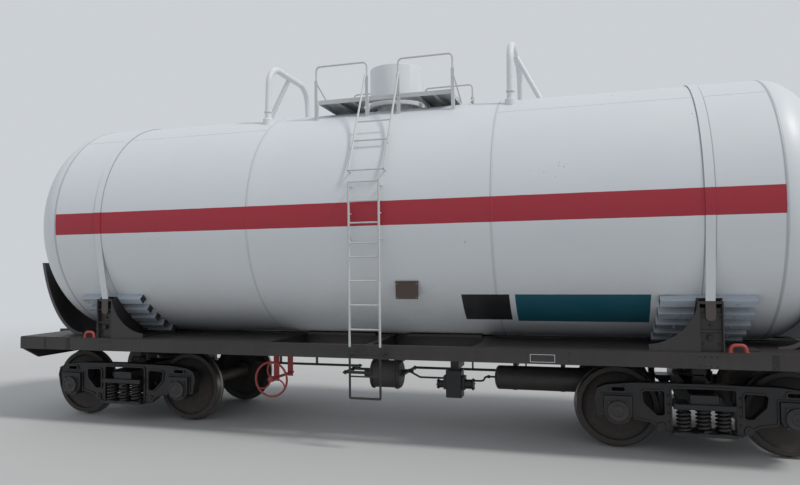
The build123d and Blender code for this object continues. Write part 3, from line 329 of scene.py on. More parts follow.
WHEEL_BROWN = (0.030, 0.024, 0.022, 1)
TREAD_STEEL = (0.34, 0.32, 0.30, 1)
AXLE_STEEL = (0.15, 0.13, 0.12, 1)

# Painting on the shell: how far its edges wander, the stripe's ends, and its dirt
EDGE_WOBBLE = 0.006
STRIPE_END = 4.665
SHELL_FILM = 0.15
SIGN_FILM = 0.04


def make_shell_paint():
    """White shell with the red stripe along both sides and two blank painted panels."""
    material, tree, shader, position = new_material("shell_paint")
    parts = put(tree, "SeparateXYZ", {0: position})
    wobble = math_node(tree, "SUBTRACT", noise(tree, position, 7.0), 0.5)
    wobble = math_node(tree, "MULTIPLY", wobble, EDGE_WOBBLE)
    height = math_node(tree, "ADD", parts.outputs["Z"], wobble)
    near = ramp(tree, parts.outputs["Y"], 0.05, -0.05)
    along = math_node(tree, "ADD", parts.outputs["X"], wobble)
    tone = noise(tree, position, 0.9, 3.0)
    colour = blend_colour(tree, tone, SHELL_DARK, SHELL_LIGHT)
    away = math_node(tree, "ABSOLUTE", parts.outputs["X"])
    # Painted shade: darker lines beside the weld beads (dirt as well) and along the gaps at the bands'
    # edges
    shade_lines = (
        # place along the car, half width, share of darkening: dirt and painted shade at the seams,
        # painted shadow in the gaps beside the bands
        (RING_SEAMS[1], 0.024, 0.30),
        (HEAD_SEAM, 0.024, 0.55),
        (SADDLE_X - BAND_HALF - 0.006, 0.009, 0.75),
        (SADDLE_X + BAND_HALF + 0.006, 0.009, 0.75),
    )
    for place, half, share in shade_lines:
        gap = math_node(tree, "ABSOLUTE", math_node(tree, "SUBTRACT", away, place))
        line = math_node(tree, "MULTIPLY", ramp(tree, gap, half, half * 0.4), share)
        colour = blend_colour(tree, line, colour, SEAM_SHADE_GREY)
    signs = 0.0
    panels = (
        # low and high along, low and high height, colour, near side only
        (-STRIPE_END, STRIPE_END, TANK_AXIS - STRIPE_HALF, TANK_AXIS + STRIPE_HALF, STRIPE_RED, False),
        (1.82, 3.357, 1.52, 1.868, TEAL, True),
        (1.165, 1.752, 1.535, 1.868, PANEL_BLACK, True),
    )
    labels = ("Along", "Height", "Low Along", "High Along", "Low Height", "High Height")
    for low, high, bottom, top, paint, near_only in panels:
        values = dict(zip(labels, (along, height, low, high, bottom, top)))
        mask = use_group(tree, PAINTED_PANEL, values).outputs["Mask"]
        if near_only:
            mask = math_node(tree, "MULTIPLY", mask, near)
            signs = math_node(tree, "MAXIMUM", mask, signs)
        colour = blend_colour(tree, mask, colour, paint)
    # the two signs are cleaner than the shell round them
    amount = math_node(tree, "MULTIPLY_ADD", signs, SIGN_FILM - SHELL_FILM, SHELL_FILM)
    film = (SHELL_DUST, 1.15, 2.5, amount, 0.02)
    rust = (RUST, 34.0, 0.04)
    finish_paint(tree, shader, position, colour, film, rust, 0.45, 0.04, (5.0, 0.06, 0.02))
    return material


PAINTS = (
    # finish, name, colour, dust and its low, high, amount and base amount, rust's scale and amount,
    # roughness, then clear coat and grain where they aren't plain
    ("white", "white_paint", WHITE, SHELL_DUST, (1.6, 4.6, 0.15, 0.08), (45, 0.15), 0.50, 0.04, SMOOTH),
    ("frame", "frame_paint", FRAME_BROWN, ROAD_DUST, (0.9, 1.5, 0.25, 0.12), (60, 0.2), 0.42),
    ("cast", "bogie_black", CAST_BLACK, ROAD_DUST, (0.0, 0.9, 0.20, 0.06), (55, 0.22), 0.42, 0.0, SANDY),
    ("platform", "platform_grey", PLATFORM_GREY, ROAD_DUST, (0.5, 4.6, 0.18, 0.12), (60, 0.35), 0.45),
    ("red", "signal_red", SIGNAL_RED, ROAD_DUST, (0.4, 1.2, 0.25, 0.1), (60, 0.3), 0.4),
    ("staple", "staple_red", STAPLE_RED, ROAD_DUST, (1.0, 1.5, 0.25, 0.1), (60, 0.3), 0.45),
    ("plate", "blank_plate", PLATE_BROWN, ROAD_DUST, (1.6, 2.2, 0.2, 0.1), (60, 0.2), 0.4),
    ("stud", "pale_steel", PALE_STEEL, ROAD_DUST, (1.0, 4.6, 0.2, 0.1), (80, 0.35), 0.4),
    ("tongue", "tongue_brown", TONGUE_BROWN, ROAD_DUST, (1.3, 1.9, 0.2, 0.1), (60, 0.3), 0.5),
    ("cap", "cap_black", CAP_BLACK, ROAD_DUST, (0.0, 0.9, 0.22, 0.08), (60, 0.2), 0.27),
    # the shield edge's paler grey is a painted highlight of sky light
    ("edge", "shield_edge", EDGE_HIGHLIGHT_GREY, ROAD_DUST, (1.2, 2.4, 0.25, 0.1), (60, 0.25), 0.45),
    ("spring", "spring_black", CAST_BLACK, ROAD_DUST, (0.2, 0.7, 0.4, 0.15), (70, 0.35), 0.45),
)
MATERIALS = {"shell": make_shell_paint()}
for paint_key, paint_name, paint, dust, dust_spread, rust_spread, *gloss in PAINTS:
    MATERIALS[paint_key] = painted(paint_name, paint, (dust, *dust_spread), (RUST, *rust_spread), *gloss)


def make_wheel_steel(name, colour, roughness, metallic):
    material, tree, shader, position = new_material(name)
    tone = noise(tree, position, 9.0, 5.0)
    clean = blend_colour(tree, tone, shade(colour, 0.6), colour)
    film = (ROAD_DUST, 0.0, 1.1, 0.3, 0.12)
    rust = (RUST, 40, 0.45 if metallic < 0.5 else 0.1)
    finish_paint(tree, shader, position, clean, film, rust, roughness, 0.0, (70, 0.3, 0.002))
    shader.inputs["Metallic"].default_value = metallic
    return material


def make_timber_paint():
    """Weathered pale paint over sawn timber, its grain along the car."""
    material, tree, shader, position = new_material("painted_timber")
    grain = noise(tree, position, 30.0, 6.0, (0.07, 1, 1))
    tone = noise(tree, position, 4.0, 4.0, (0.3, 1, 1))
    pale = blend_colour(tree, tone, TIMBER_PALE, TIMBER_BLUE)
    clean = blend_colour(tree, ramp(tree, grain, 0.56, 0.72), pale, TIMBER_BARE)
    film = (ROAD_DUST, 1.25, 1.9, 0.22, 0.10)
    bare = (TIMBER_END, 26, 0.22)
    finish_paint(tree, shader, position, clean, film, bare, 0.62, 0.0, (38, 0.3, 0.003))
    fine = put(tree, "Bump", {"Height": grain, "Strength": 0.35, "Distance": 0.003})
    for link in list(tree.links):
        if link.to_socket == shader.inputs["Normal"]:
            tree.links.new(link.from_socket, fine.inputs["Normal"])
    tree.links.new(fine.outputs["Normal"], shader.inputs["Normal"])
    return material


MATERIALS["timber"] = make_timber_paint()
MATERIALS["timber_end"] = painted(
    "timber_end", TIMBER_END, (ROAD_DUST, 1.25, 1.9, 0.2, 0.1), (RUST, 60, 0.1), 0.7, 0.0, SAWN
)
MATERIALS["wheel"] = make_wheel_steel("wheel_brown", WHEEL_BROWN, 0.55, 0.0)
MATERIALS["tread"] = make_wheel_steel("wheel_tread", TREAD_STEEL, 0.3, 0.9)
MATERIALS["axle"] = make_wheel_steel("axle_grey", AXLE_STEEL, 0.5, 0.3)


def make_ladder_paint():
    """Pale grey above the side sill and black below it."""
    material, tree, shader, position = new_material("ladder_paint")
    height = put(tree, "SeparateXYZ", {0: position}).outputs["Z"]
    share = ramp(tree, height, SILL_TOP - 0.01, SILL_TOP + 0.01)
    clean = blend_colour(tree, share, CAST_BLACK, PLATFORM_GREY)
    film = (ROAD_DUST, 0.5, 4.6, 0.2, 0.12)
    finish_paint(tree, shader, position, clean, film, (RUST, 60, 0.35), 0.42, 0.0, PAINT_GRAIN)
    return material


MATERIALS["ladder"] = make_ladder_paint()


# Mesh helpers
MERGE = 1e-5


def mesh_data(name, mesh):
    data = bpy.data.meshes.new(name)
    mesh.to_mesh(data)
    mesh.free()
    return data


def mesh_object(name, mesh):
    """Turns a bmesh into an object in the scene. Returns both it and its data."""
    data = mesh_data(name, mesh)
    made = bpy.data.objects.new(name, data)
    bpy.context.scene.collection.objects.link(made)
    return made, data


def piece(name, mesh, finish, body, replaces=(), smooth=30, extra=()):
    """Turns a bmesh into a piece that rides on a body, with its finishes."""
    made, data = mesh_object(name, mesh)
    for key in (finish, *extra):
        data.materials.append(MATERIALS[key])
    data.shade_smooth()
    data.set_sharp_from_angle(angle=radians(smooth))
    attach(made, body)
    if replaces:
        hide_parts(*replaces)
    return made


def clean_copy(node):
    """The node's mesh with its doubled points merged and its flat faces joined."""
    mesh = bmesh.new()
    mesh.from_mesh(nodes[node].data)
    bmesh.ops.remove_doubles(mesh, verts=mesh.verts, dist=MERGE)
    bmesh.ops.dissolve_limit(
        mesh, angle_limit=radians(0.5), verts=mesh.verts, edges=mesh.edges, delimit={"NORMAL"}
    )
    return mesh


def round_edges(made, width, sharpest=30):
    """Rounds the edges that turn by more than so many degrees."""
    bevel = made.modifiers.new("edge", "BEVEL")
    bevel.width = width
    bevel.segments = 2
    bevel.limit_method = "ANGLE"
    bevel.angle_limit = radians(sharpest)
    bevel.harden_normals = True


def dress(node, finish, body, edge, mesh=None):
    """A node's own shape, or a copy given as a mesh, with its hard edges rounded over."""
    made = piece(node + "_dressed", mesh or clean_copy(node), finish, body, (node,), 35)
    round_edges(made, edge, 40)
    return made


def spin(mesh, geom, centre, axis, angle, steps, climb=0.0, merge=False):
    """Spins part of a mesh about an axis. Returns the edges of its last copy."""
    last = bmesh.ops.spin(
        mesh,
        geom=geom,
        cent=centre,
        axis=axis,
        dvec=(0, 0, climb),
        angle=angle,
        steps=steps,
        use_merge=merge,
        use_normal_flip=False,
        use_duplicate=False,
    )["geom_last"]
    return [item for item in last if isinstance(item, bmesh.types.BMEdge)]


def lathe(mesh, profile, centre, axis, across, steps=96):
    """Spins (along, radius) points once round the axis through centre."""
    centre = Vector(centre)
    axis = Vector(axis)
    across = Vector(across)
    verts = [mesh.verts.new(centre + axis * a + across * r) for a, r in profile]
    edges = [mesh.edges.new(pair) for pair in zip(verts, verts[1:])]
    spin(mesh, verts + edges, centre, axis, 2 * pi, steps, merge=True)


def around(axis, radius, count, shift=0.0):
    """Offsets to so many points on a circle that faces along X, Y or Z."""
    offsets = []
    for index in range(count):
        turn = 2 * pi * (index + shift) / count
        c = radius * cos(turn)
        s = radius * sin(turn)
        offsets.append(Vector({"X": (0, c, s), "Y": (c, 0, s), "Z": (c, s, 0)}[axis]))
    return offsets


def seal(mesh):
    """Merges what meets and turns the faces outwards."""
    bmesh.ops.remove_doubles(mesh, verts=mesh.verts, dist=MERGE)
    bmesh.ops.recalc_face_normals(mesh, faces=mesh.faces)


def stand(axis):
    """A turn that takes Z to the given axis."""
    return Vector((0, 0, 1)).rotation_difference(Vector(axis)).to_matrix().to_4x4()


def disc(mesh, centre, axis, radius, height, segments=24, top=None):
    """A short round or six-sided boss that rises from centre along the axis."""
    middle = Vector(centre) + Vector(axis).normalized() * height / 2
    bmesh.ops.create_cone(
        mesh,
        cap_ends=True,
        cap_tris=False,
        segments=segments,
        radius1=radius,
        radius2=radius if top is None else top,
        depth=height,
        matrix=Matrix.Translation(middle) @ stand(axis),
    )


def bolt(mesh, centre, axis, size, height):
    """A hexagon head on a washer."""
    disc(mesh, centre, axis, size * 1.35, height * 0.25, 16)
    base = Vector(centre) + Vector(axis).normalized() * height * 0.25
    disc(mesh, base, axis, size, height * 0.75, 6, size * 0.92)


def edges_between(verts):
    """The edges of a freshly made shape."""
    return list(dict.fromkeys(edge for vert in verts for edge in vert.link_edges))


def slab(mesh, low, high):
    """A plain block between two corners, as part of a larger piece."""
    size = Vector(high) - Vector(low)
    middle = (Vector(high) + Vector(low)) / 2
    scale = Matrix.Diagonal((abs(size.x), abs(size.y), abs(size.z), 1))
    return bmesh.ops.create_cube(mesh, size=1, matrix=Matrix.Translation(middle) @ scale)["verts"]


def bar(mesh, start, end, radius, segments=16):
    """A round bar between two points."""
    run = Vector(end) - Vector(start)
    disc(mesh, start, run, radius, run.length, segments)


def filled_circle(mesh, place, radius, sides):
    """A round face to draw out. Returns its edges."""
    ring = bmesh.ops.create_circle(
        mesh, cap_ends=False, segments=sides, radius=radius, matrix=place
    )["verts"]
    edges = edges_between(ring)
    bmesh.ops.edgeloop_fill(mesh, edges=edges)
    return edges


def push(mesh, edges, run):
    """Draws an open ring of edges out by a run. Returns the new ring."""
    made = bmesh.ops.extrude_edge_only(mesh, edges=edges)["geom"]
    moved = [item for item in made if isinstance(item, bmesh.types.BMVert)]
    bmesh.ops.translate(mesh, verts=moved, vec=run)
    return [item for item in made if isinstance(item, bmesh.types.BMEdge) and len(item.link_faces) == 1]


BEND_STEPS = 8


def tube(mesh, points, radius, bend, sides):
    """A round tube: a circle drawn out along each run and spun round each corner."""
    points = [Vector(point) for point in points]
    here = points[0]
    way = (points[1] - here).normalized()
    place = Matrix.Translation(here) @ stand(way)
    known = set(mesh.faces)
    edges = filled_circle(mesh, place, radius, sides)
    for corner, following in zip(points[1:], points[2:]):
        ahead = (following - corner).normalized()
        angle = way.angle(ahead)
        reach = bend * tan(angle / 2)
        stop = corner - way * reach
        edges = push(mesh, edges, stop - here)
        axis = way.cross(ahead).normalized()
        edges = spin(mesh, edges, stop + axis.cross(way) * bend, axis, angle, BEND_STEPS)
        here = corner + ahead * reach
        way = ahead
    edges = push(mesh, edges, points[-1] - here)
    bmesh.ops.edgeloop_fill(mesh, edges=edges)
    bmesh.ops.recalc_face_normals(mesh, faces=[face for face in mesh.faces if face not in known])


# Tank: one spun shell with its seams
def make_tank():
    half = [(0.0, TANK_RADIUS)]
    bead = 0.011
    rise = 0.0035
    flank = rise * 0.8
    section = ((-bead, 0), (-bead / 2, flank), (0, rise), (bead / 2, flank), (bead, 0))
    for seam in (RING_SEAMS[1], HEAD_SEAM):
        for offset, lift in section:
            half.append((seam + offset, TANK_RADIUS + lift))
    steps = 40
    for index in range(1, steps + 1):
        angle = pi / 2 * index / steps
        half.append((HEAD_SEAM + HEAD_DEPTH * sin(angle), TANK_RADIUS * cos(angle)))
    half = sorted(half, key=lambda point: point[0])
    profile = [(-a, r) for a, r in reversed(half[1:])] + half
    mesh = bmesh.new()
    lathe(mesh, profile, (0, 0, TANK_AXIS), (1, 0, 0), (0, 0, 1), 224)
    seal(mesh)
    piece("tank_shell", mesh, "shell", "car", ("tank",), 20)


def make_long_seams():
    """Weld beads along the courses of the shell, one to a course."""
    courses = (
        # from, to, angle above the horizontal on the near side
        (RING_SEAMS[1], HEAD_SEAM, 52.3),
        (RING_SEAMS[0], RING_SEAMS[1], 118.0),
        (-HEAD_SEAM, RING_SEAMS[0], 52.3),
    )
    stop = 0.015
    bead = 0.008
    depth = 0.0035
    mesh = bmesh.new()
    for low, high, angle in courses:
        way = Vector((0, -cos(radians(angle)), sin(radians(angle))))
        centre = Vector((0, 0, TANK_AXIS)) + way * (TANK_RADIUS - depth)
        start = centre + Vector((low + stop, 0, 0))
        bar(mesh, start, centre + Vector((high - stop, 0, 0)), bead, 12)
    piece("shell_seams", mesh, "white", "car", (), 60)


# Running gear: nested coil springs, king pins, turned wheels and axles
SPRING_LOW = 0.3045
SPRING_HIGH = 0.5645
FRAME_LINE = 1.018
SPRING_PITCH = 0.208
SPRING_ROW = 0.078
COILS = (
    # coil radius, wire radius, turns
    (0.060, 0.0145, 5.25),
    (0.031, 0.0085, 8.25),
)
STEPS_A_TURN = 20
WIRE_SIDES = 8


def make_coil_mesh():
    """One nest of two coils that stands on the origin, each a circle spun upwards."""
    mesh = bmesh.new()
    for radius, wire, turns in COILS:
        steps = int(turns * STEPS_A_TURN)
        climb = (SPRING_HIGH - SPRING_LOW - 2 * wire) / steps
        place = Matrix.Translation((radius, 0, wire)) @ stand((0, 1, 0))
        edges = filled_circle(mesh, place, wire, WIRE_SIDES)
        edges = spin(mesh, edges, (0, 0, 0), (0, 0, 1), 2 * pi * turns, steps, climb)
        bmesh.ops.edgeloop_fill(mesh, edges=edges)
    bmesh.ops.recalc_face_normals(mesh, faces=mesh.faces)
    return mesh_data("coil", mesh)


COIL = make_coil_mesh()


def add_copy(mesh, data, place):
    """Adds another mesh's faces to this one, moved and turned by a matrix."""
    known = len(mesh.verts)
    mesh.from_mesh(data)
    mesh.verts.ensure_lookup_table()
    bmesh.ops.transform(mesh, matrix=place, verts=mesh.verts[known:])


def make_springs(name, centre):
    """Nested coils between the side frames' shelves and the bolster's ends."""
    mesh = bmesh.new()
    for side in SIDES:
        for column in (-1, 0, 1):
            for row in (-1, 1):
                x = centre + column * SPRING_PITCH
                y = side * FRAME_LINE + row * SPRING_ROW
                turn = Matrix.Rotation((column * 2 + row + side) * 0.9, 4, "Z")
                add_copy(mesh, COIL, Matrix.Translation((x, y, SPRING_LOW)) @ turn)
    piece(name + "_coils", mesh, "spring", name, (name + "_springs",), 60)


# Pins that turn in a close bore are drawn in by this share, so that their facets clear the bore's
EASE = 0.012
JOURNAL_START = 0.89
JOURNAL_RADIUS = 0.065
KING_PIN = 0.027


def make_body_bolsters():
    """The CAD's body bolsters, with their king pins eased."""
    mesh = clean_copy("body_bolsters")
    for vert in mesh.verts:
        pivot = BOGIE_X if vert.co.x > 0 else -BOGIE_X
        away = Vector((vert.co.x - pivot, vert.co.y, 0))
        if away.length < KING_PIN + 0.0005:
            vert.co -= away * EASE
    dress("body_bolsters", "frame", "car", 0.003, mesh=mesh)


def make_wheelset(number, x):
    """Two turned wheels, their treads bright, and a turned axle."""
    back = 0.72
    profile = (
        # across the car, radius
        (0.690, 0.0971),
        (0.690, 0.128),
        (0.700, 0.136),
        (0.735, 0.150),
        (0.752, 0.180),
        (0.764, 0.260),
        (0.766, 0.330),
        (0.758, 0.375),
        (0.735, 0.402),
        (back + 0.004, 0.412),
        (back, 0.418),
        (back, 0.492),
        (back + 0.004, 0.501),
        (back + 0.010, 0.506),
        (back + 0.017, 0.5065),
        (back + 0.025, 0.5015),
        (back + 0.031, 0.491),
        (back + 0.038, 0.4835),
        (back + 0.050, 0.4795),
        (back + 0.070, 0.4785),
        (back + 0.112, 0.4755),
        (back + 0.126, 0.472),
        (back + 0.130, 0.467),
        (back + 0.130, 0.416),
        (back + 0.126, 0.411),
        (0.812, 0.400),
        (0.795, 0.378),
        (0.789, 0.330),
        (0.794, 0.250),
        (0.806, 0.186),
        (0.824, 0.160),
        (0.858, 0.136),
        (0.866, 0.128),
        (0.866, 0.0971),
    )
    tread = (back + 0.026, back + 0.128)
    tread_low = 0.4705
    body = f"wheelset_{number}"
    mesh = bmesh.new()
    for side in SIDES:
        lathe(mesh, profile, (x, 0, AXLE_Z), (0, side, 0), (0, 0, 1), 96)
    seal(mesh)
    for face in mesh.faces:
        centre = face.calc_center_median()
        away = Vector((centre.x - x, 0, centre.z - AXLE_Z)).length
        if away > tread_low and tread[0] < abs(centre.y) < tread[1]:
            face.material_index = 1
    piece(f"wheels_turned_{number}", mesh, "wheel", body, (f"wheels_{number}",), 32, ("tread",))
    axle = clean_copy(f"axle_{number}")
    for vert in axle.verts:
        away = vert.co - Vector((x, vert.co.y, AXLE_Z))
        if abs(vert.co.y) > JOURNAL_START and away.length < JOURNAL_RADIUS + 0.0005:
            vert.co -= away * EASE
    dress(f"axle_{number}", "axle", body, 0.002, mesh=axle)


# Roof: guard arches, the flange's nuts and the neck's weld
ARCH_X = 1.75
ARCH_HALF = 0.665
ARCH_SPLAY = 0.05
ARCH_TUBE = 0.047
ARCH_TOP = 5.235
ARCH_BEND = 0.30
ARCH_BRACE = 0.37
ARCH_COLLAR = (
    # height over the shell, radius
    (-0.06, 0.076),
    (0.022, 0.076),
    (0.030, 0.070),
    (0.034, 0.053),
    (0.05, 0.049),
)
ARCH_RING = (
    # height over the shell, radius
    (0.125, 0.046),
    (0.125, 0.055),
    (0.131, 0.058),
    (0.147, 0.058),
    (0.152, 0.054),
    (0.156, 0.046),
)
NECK_RADIUS = 0.30
NECK_WELD = 0.011
STUD_RING = 0.367
FLANGE_LOW = 4.54
FLANGE_HIGH = 4.60
STUDS = 28


def skin_above(y):
    """Height of the shell's upper side at y."""
    return TANK_AXIS + sqrt(TANK_RADIUS**2 - y * y)


def make_arches():
    """A bent tube across the car at each end of the platform, braced outward, on collars."""
    sunk = 0.03
    for end, letter in ((1, "a"), (-1, "b")):
        mesh = bmesh.new()
        x = end * ARCH_X
        foot = skin_above(ARCH_HALF) - sunk
        top = ARCH_TOP - ARCH_TUBE
        out = ARCH_HALF + ARCH_SPLAY
        points = ((x, -out, foot), (x, -ARCH_HALF, top), (x, ARCH_HALF, top), (x, out, foot))
        tube(mesh, points, ARCH_TUBE, ARCH_BEND, 24)
        brace_foot = (x + end * ARCH_BRACE, -0.03, skin_above(0) - sunk)
        bar(mesh, (x, 0, top), brace_foot, ARCH_TUBE * 0.78, 24)
        for side in SIDES:
            base = Vector((x, side * out, foot + sunk))
            lathe(mesh, ARCH_COLLAR, base, (0, 0, 1), (1, 0, 0), 32)
            lean = Vector((0, -side * 0.006, 0))
            lathe(mesh, ARCH_RING, base + lean, (0, 0, 1), (1, 0, 0), 32)
        seal(mesh)
        piece("guard_arch_" + letter, mesh, "white", "car", ("arch_" + letter,), 35)


def make_flange_studs():
    """Stud ends and nuts under the manhole's flange, and the neck's weld to the shell."""
    mesh = bmesh.new()
    for offset in around("Z", STUD_RING, STUDS, 0.5):
        spot = offset + Vector((0, 0, FLANGE_LOW))
        disc(mesh, spot, (0, 0, -1), 0.021, 0.020, 6)
        disc(mesh, spot, (0, 0, -1), 0.011, 0.034, 10)
        disc(mesh, spot, (0, 0, -1), 0.026, 0.004, 16)
    piece("flange_studs", mesh, "stud", "car")
    bead = bmesh.new()
    weld = [(offset.x, NECK_RADIUS + offset.y) for offset in around("Z", NECK_WELD, 8)]
    lathe(bead, weld + weld[:1], (0, 0, 0), (0, 0, 1), (1, 0, 0), 96)
    seal(bead)
    for vert in bead.verts:
        vert.co.z += skin_above(vert.co.y)
    piece("neck_weld", bead, "white", "car", (), 60)


# Saddles: squared timbers that point at the tank's axis, on a curved steel seat
TIMBERS = 5
TIMBER_FIRST = 40.3
TIMBER_PITCH = 6.9
TIMBER_SIZE = 0.099
TIMBER_LENGTH = 1.0
TIMBER_DRIFT = 0.012
TIMBER_BOLT_X = 0.30
SEAT_PLATE = 0.014
SEAT_HALF = 0.134
SEAT_RIB = 0.12
SEAT_RIB_HALF = 0.008
SEAT_RIB_REACH = 1.83
SEAT_FROM = 37.2
SEAT_TO = 61.5
SEAT_OVERRUN = 8
SEAT_STEPS = 24
SADDLE_REACH = 1.47
BAND_FOOT = 1.806
BRACKET_BOLTS = (
    # along from the bracket's middle, below the band's foot, size, height
    (0.0, 0.265, 0.014, 0.02),
    (-0.01, 0.40, 0.030, 0.04),
    (-0.08, 0.47, 0.012, 0.012),
    (0.08, 0.47, 0.012, 0.012),
)


def down_from_side(side, degrees):
    """Unit vector from the tank's axis, so many degrees below the horizontal."""
    return Vector((0, side * cos(radians(degrees)), -sin(radians(degrees))))


def arc_strip(mesh, side, x_low, x_high, inner, outer, start, stop):
    """A strip of rectangular section that follows the tank's underside."""
    out = down_from_side(side, start)
    heart = Vector((0, 0, TANK_AXIS))
    corners = ((x_low, inner), (x_high, inner), (x_high, outer), (x_low, outer))
    verts = [mesh.verts.new(heart + out * away + Vector((x, 0, 0))) for x, away in corners]
    face = mesh.faces.new(verts)
    geom = [face, *face.edges, *verts]
    spin(mesh, geom, heart, (-side, 0, 0), radians(stop - start), SEAT_STEPS)


def make_timbers():
    """The timbers with their bolts, and the curved plate and ribs under each row."""
    mesh = bmesh.new()
    bolts = bmesh.new()
    seats = bmesh.new()
    for end, side in CORNERS:
        for index in range(TIMBERS):
            angle = TIMBER_FIRST + index * TIMBER_PITCH
            out = down_from_side(side, angle)
            up = Vector((0, side * sin(radians(angle)), cos(radians(angle))))
            middle = Vector((end * (SADDLE_X - TIMBER_DRIFT * index), 0, TANK_AXIS))
            heart = middle + out * (TANK_RADIUS + 0.001 + TIMBER_SIZE / 2)
            turn = Matrix((Vector((1, 0, 0)), out, up)).transposed().to_4x4()
            size = Matrix.Diagonal((TIMBER_LENGTH, TIMBER_SIZE, TIMBER_SIZE, 1))
            bmesh.ops.create_cube(mesh, size=1, matrix=Matrix.Translation(heart) @ turn @ size)
            for way in (-1, 1):
                spot = heart + out * TIMBER_SIZE / 2 + Vector((way * TIMBER_BOLT_X, 0, 0))
                disc(bolts, spot, out, 0.019, 0.003, 16)
                disc(bolts, spot, out, 0.0115, 0.013, 10, 0.008)
        under = TANK_RADIUS + TIMBER_SIZE + 0.0025
        middle = end * SADDLE_X
        strips = (
            # middle along the car, half width, inner and outer radius, last angle
            (middle, SEAT_HALF, under, under + SEAT_PLATE, SEAT_TO + SEAT_OVERRUN),
            (middle - SEAT_RIB, SEAT_RIB_HALF, under + SEAT_PLATE / 2, SEAT_RIB_REACH, SEAT_TO),
            (middle + SEAT_RIB, SEAT_RIB_HALF, under + SEAT_PLATE / 2, SEAT_RIB_REACH, SEAT_TO),
        )
        for x, half, inner, outer, last in strips:
            arc_strip(seats, side, x - half, x + half, inner, outer, SEAT_FROM, last)
    bmesh.ops.recalc_face_normals(mesh, faces=mesh.faces)
    for face in mesh.faces:
        if abs(face.normal.x) > 0.9:
            face.material_index = 1
    made = piece("timbers", mesh, "timber", "car", ("saddle_timbers",), 30, ("timber_end",))
    round_edges(made, 0.005)
    piece("timber_bolts", bolts, "stud", "car")
    bmesh.ops.recalc_face_normals(seats, faces=seats.faces)
    piece("timber_seats", seats, "frame", "car")


def make_tongues():
    """The rounded tongue that hangs from each band's foot, and the bracket's bolts below it."""
    mesh = bmesh.new()
    half = 0.052
    thick = 0.014
    low = BAND_FOOT - 0.215
    for end, side in CORNERS:
        x = end * SADDLE_X
        y = side * (SADDLE_REACH - 0.022)
        verts = slab(mesh, (x - half, y, low), (x + half, y + side * thick, BAND_FOOT - 0.004))
        foot = []
        for edge in edges_between(verts):
            first, second = edge.verts
            level = max(first.co.z, second.co.z) < low + 0.001
            if level and abs(first.co.x - second.co.x) < 0.001:
                foot.append(edge)
        bmesh.ops.bevel(
            mesh,
            geom=foot,
            offset=half * 0.95,
            offset_type="OFFSET",
            affect="EDGES",
            segments=8,
            profile=0.5,
            material=-1,
        )
    bmesh.ops.recalc_face_normals(mesh, faces=mesh.faces)
    piece("band_tongues", mesh, "tongue", "car", (), 40)
    bolts = bmesh.new()
    for end, side in CORNERS:
        x = end * SADDLE_X
        face = side * (SADDLE_REACH - 0.056)
        for along, drop, size, height in BRACKET_BOLTS:
            bolt(bolts, (x + along, face, BAND_FOOT - drop), (0, side, 0), size, height)
    piece("bracket_bolts", bolts, "cast", "car")


# Frame: staples, shields, end beam aprons, sill joints, rivets and the outline of a blank field
STAPLE_X = 4.2
FRAME_HALF = 5.4
SHIELD_HALF = 1.06
APRON_START = 0.255
APRON_HALF = 1.19
APRON_LOW = 0.915
STAPLE_HALF = 0.079
STAPLE_HEIGHT = 0.084
STAPLE_WIRE = 0.0205
SILL_STRIPS = (
    # along the car, half width
    (4.545, 0.031),
    (4.95, 0.007),
)
SILL_RIVETS = (-2.45, -1.4, 0.0, 1.4, 2.45)
BOLSTER_RIVETS = (-0.09, -0.03, 0.03, 0.09)


def make_staples():
    """A bent red staple on each corner of the deck, welded to two pads."""
    mesh = bmesh.new()
    for end, side in CORNERS:
        x = end * STAPLE_X
        y = side * (SILL_FACE - 0.045)
        shoulder = STAPLE_HALF - 0.008
        points = (
            (x - STAPLE_HALF, y, SILL_TOP + 0.006),
            (x - shoulder, y, SILL_TOP + STAPLE_HEIGHT),
            (x + shoulder, y, SILL_TOP + STAPLE_HEIGHT),
            (x + STAPLE_HALF, y, SILL_TOP + 0.006),
        )
        tube(mesh, points, STAPLE_WIRE, 0.05, 14)
        for way in (-1, 1):
            pad = (x + way * STAPLE_HALF, y, SILL_TOP + 0.004)
            disc(mesh, pad, (0, 0, 1), 0.029, 0.008, 20)
    piece("staple_rings", mesh, "staple", "car", ("lashing_staples",), 40)


def make_shields():
    """The CAD's head shields, with the outermost rib on each side in a paler grey, a painted highlight
    where sky light falls on it.
    """
    made = dress("head_shields", "frame", "car", 0.002)
    made.data.materials.append(MATERIALS["edge"])
    # the faces that take the paler grey are a painted highlight
    for face in made.data.polygons:
        if abs(face.normal.y) > 0.95 and abs(face.center.y) > SHIELD_HALF - 0.005:
            face.material_index = 1


def make_beam_aprons():
    """The lower part of each end beam, drawn in towards the sills at both ends."""
    mesh = bmesh.new()
    top = SILL_BOTTOM + 0.01
    for end, side in CORNERS:
        low = (end * (FRAME_HALF - 0.045), side * APRON_START, APRON_LOW)
        verts = slab(mesh, low, (end * (FRAME_HALF - 0.002), side * (SILL_FACE - 0.004), top))
        for vert in verts:
            if vert.co.z < top - 0.01 and abs(vert.co.y) > APRON_HALF:
                vert.co.y = side * APRON_HALF
    made = piece("beam_aprons", mesh, "frame", "car")
    round_edges(made, 0.004)


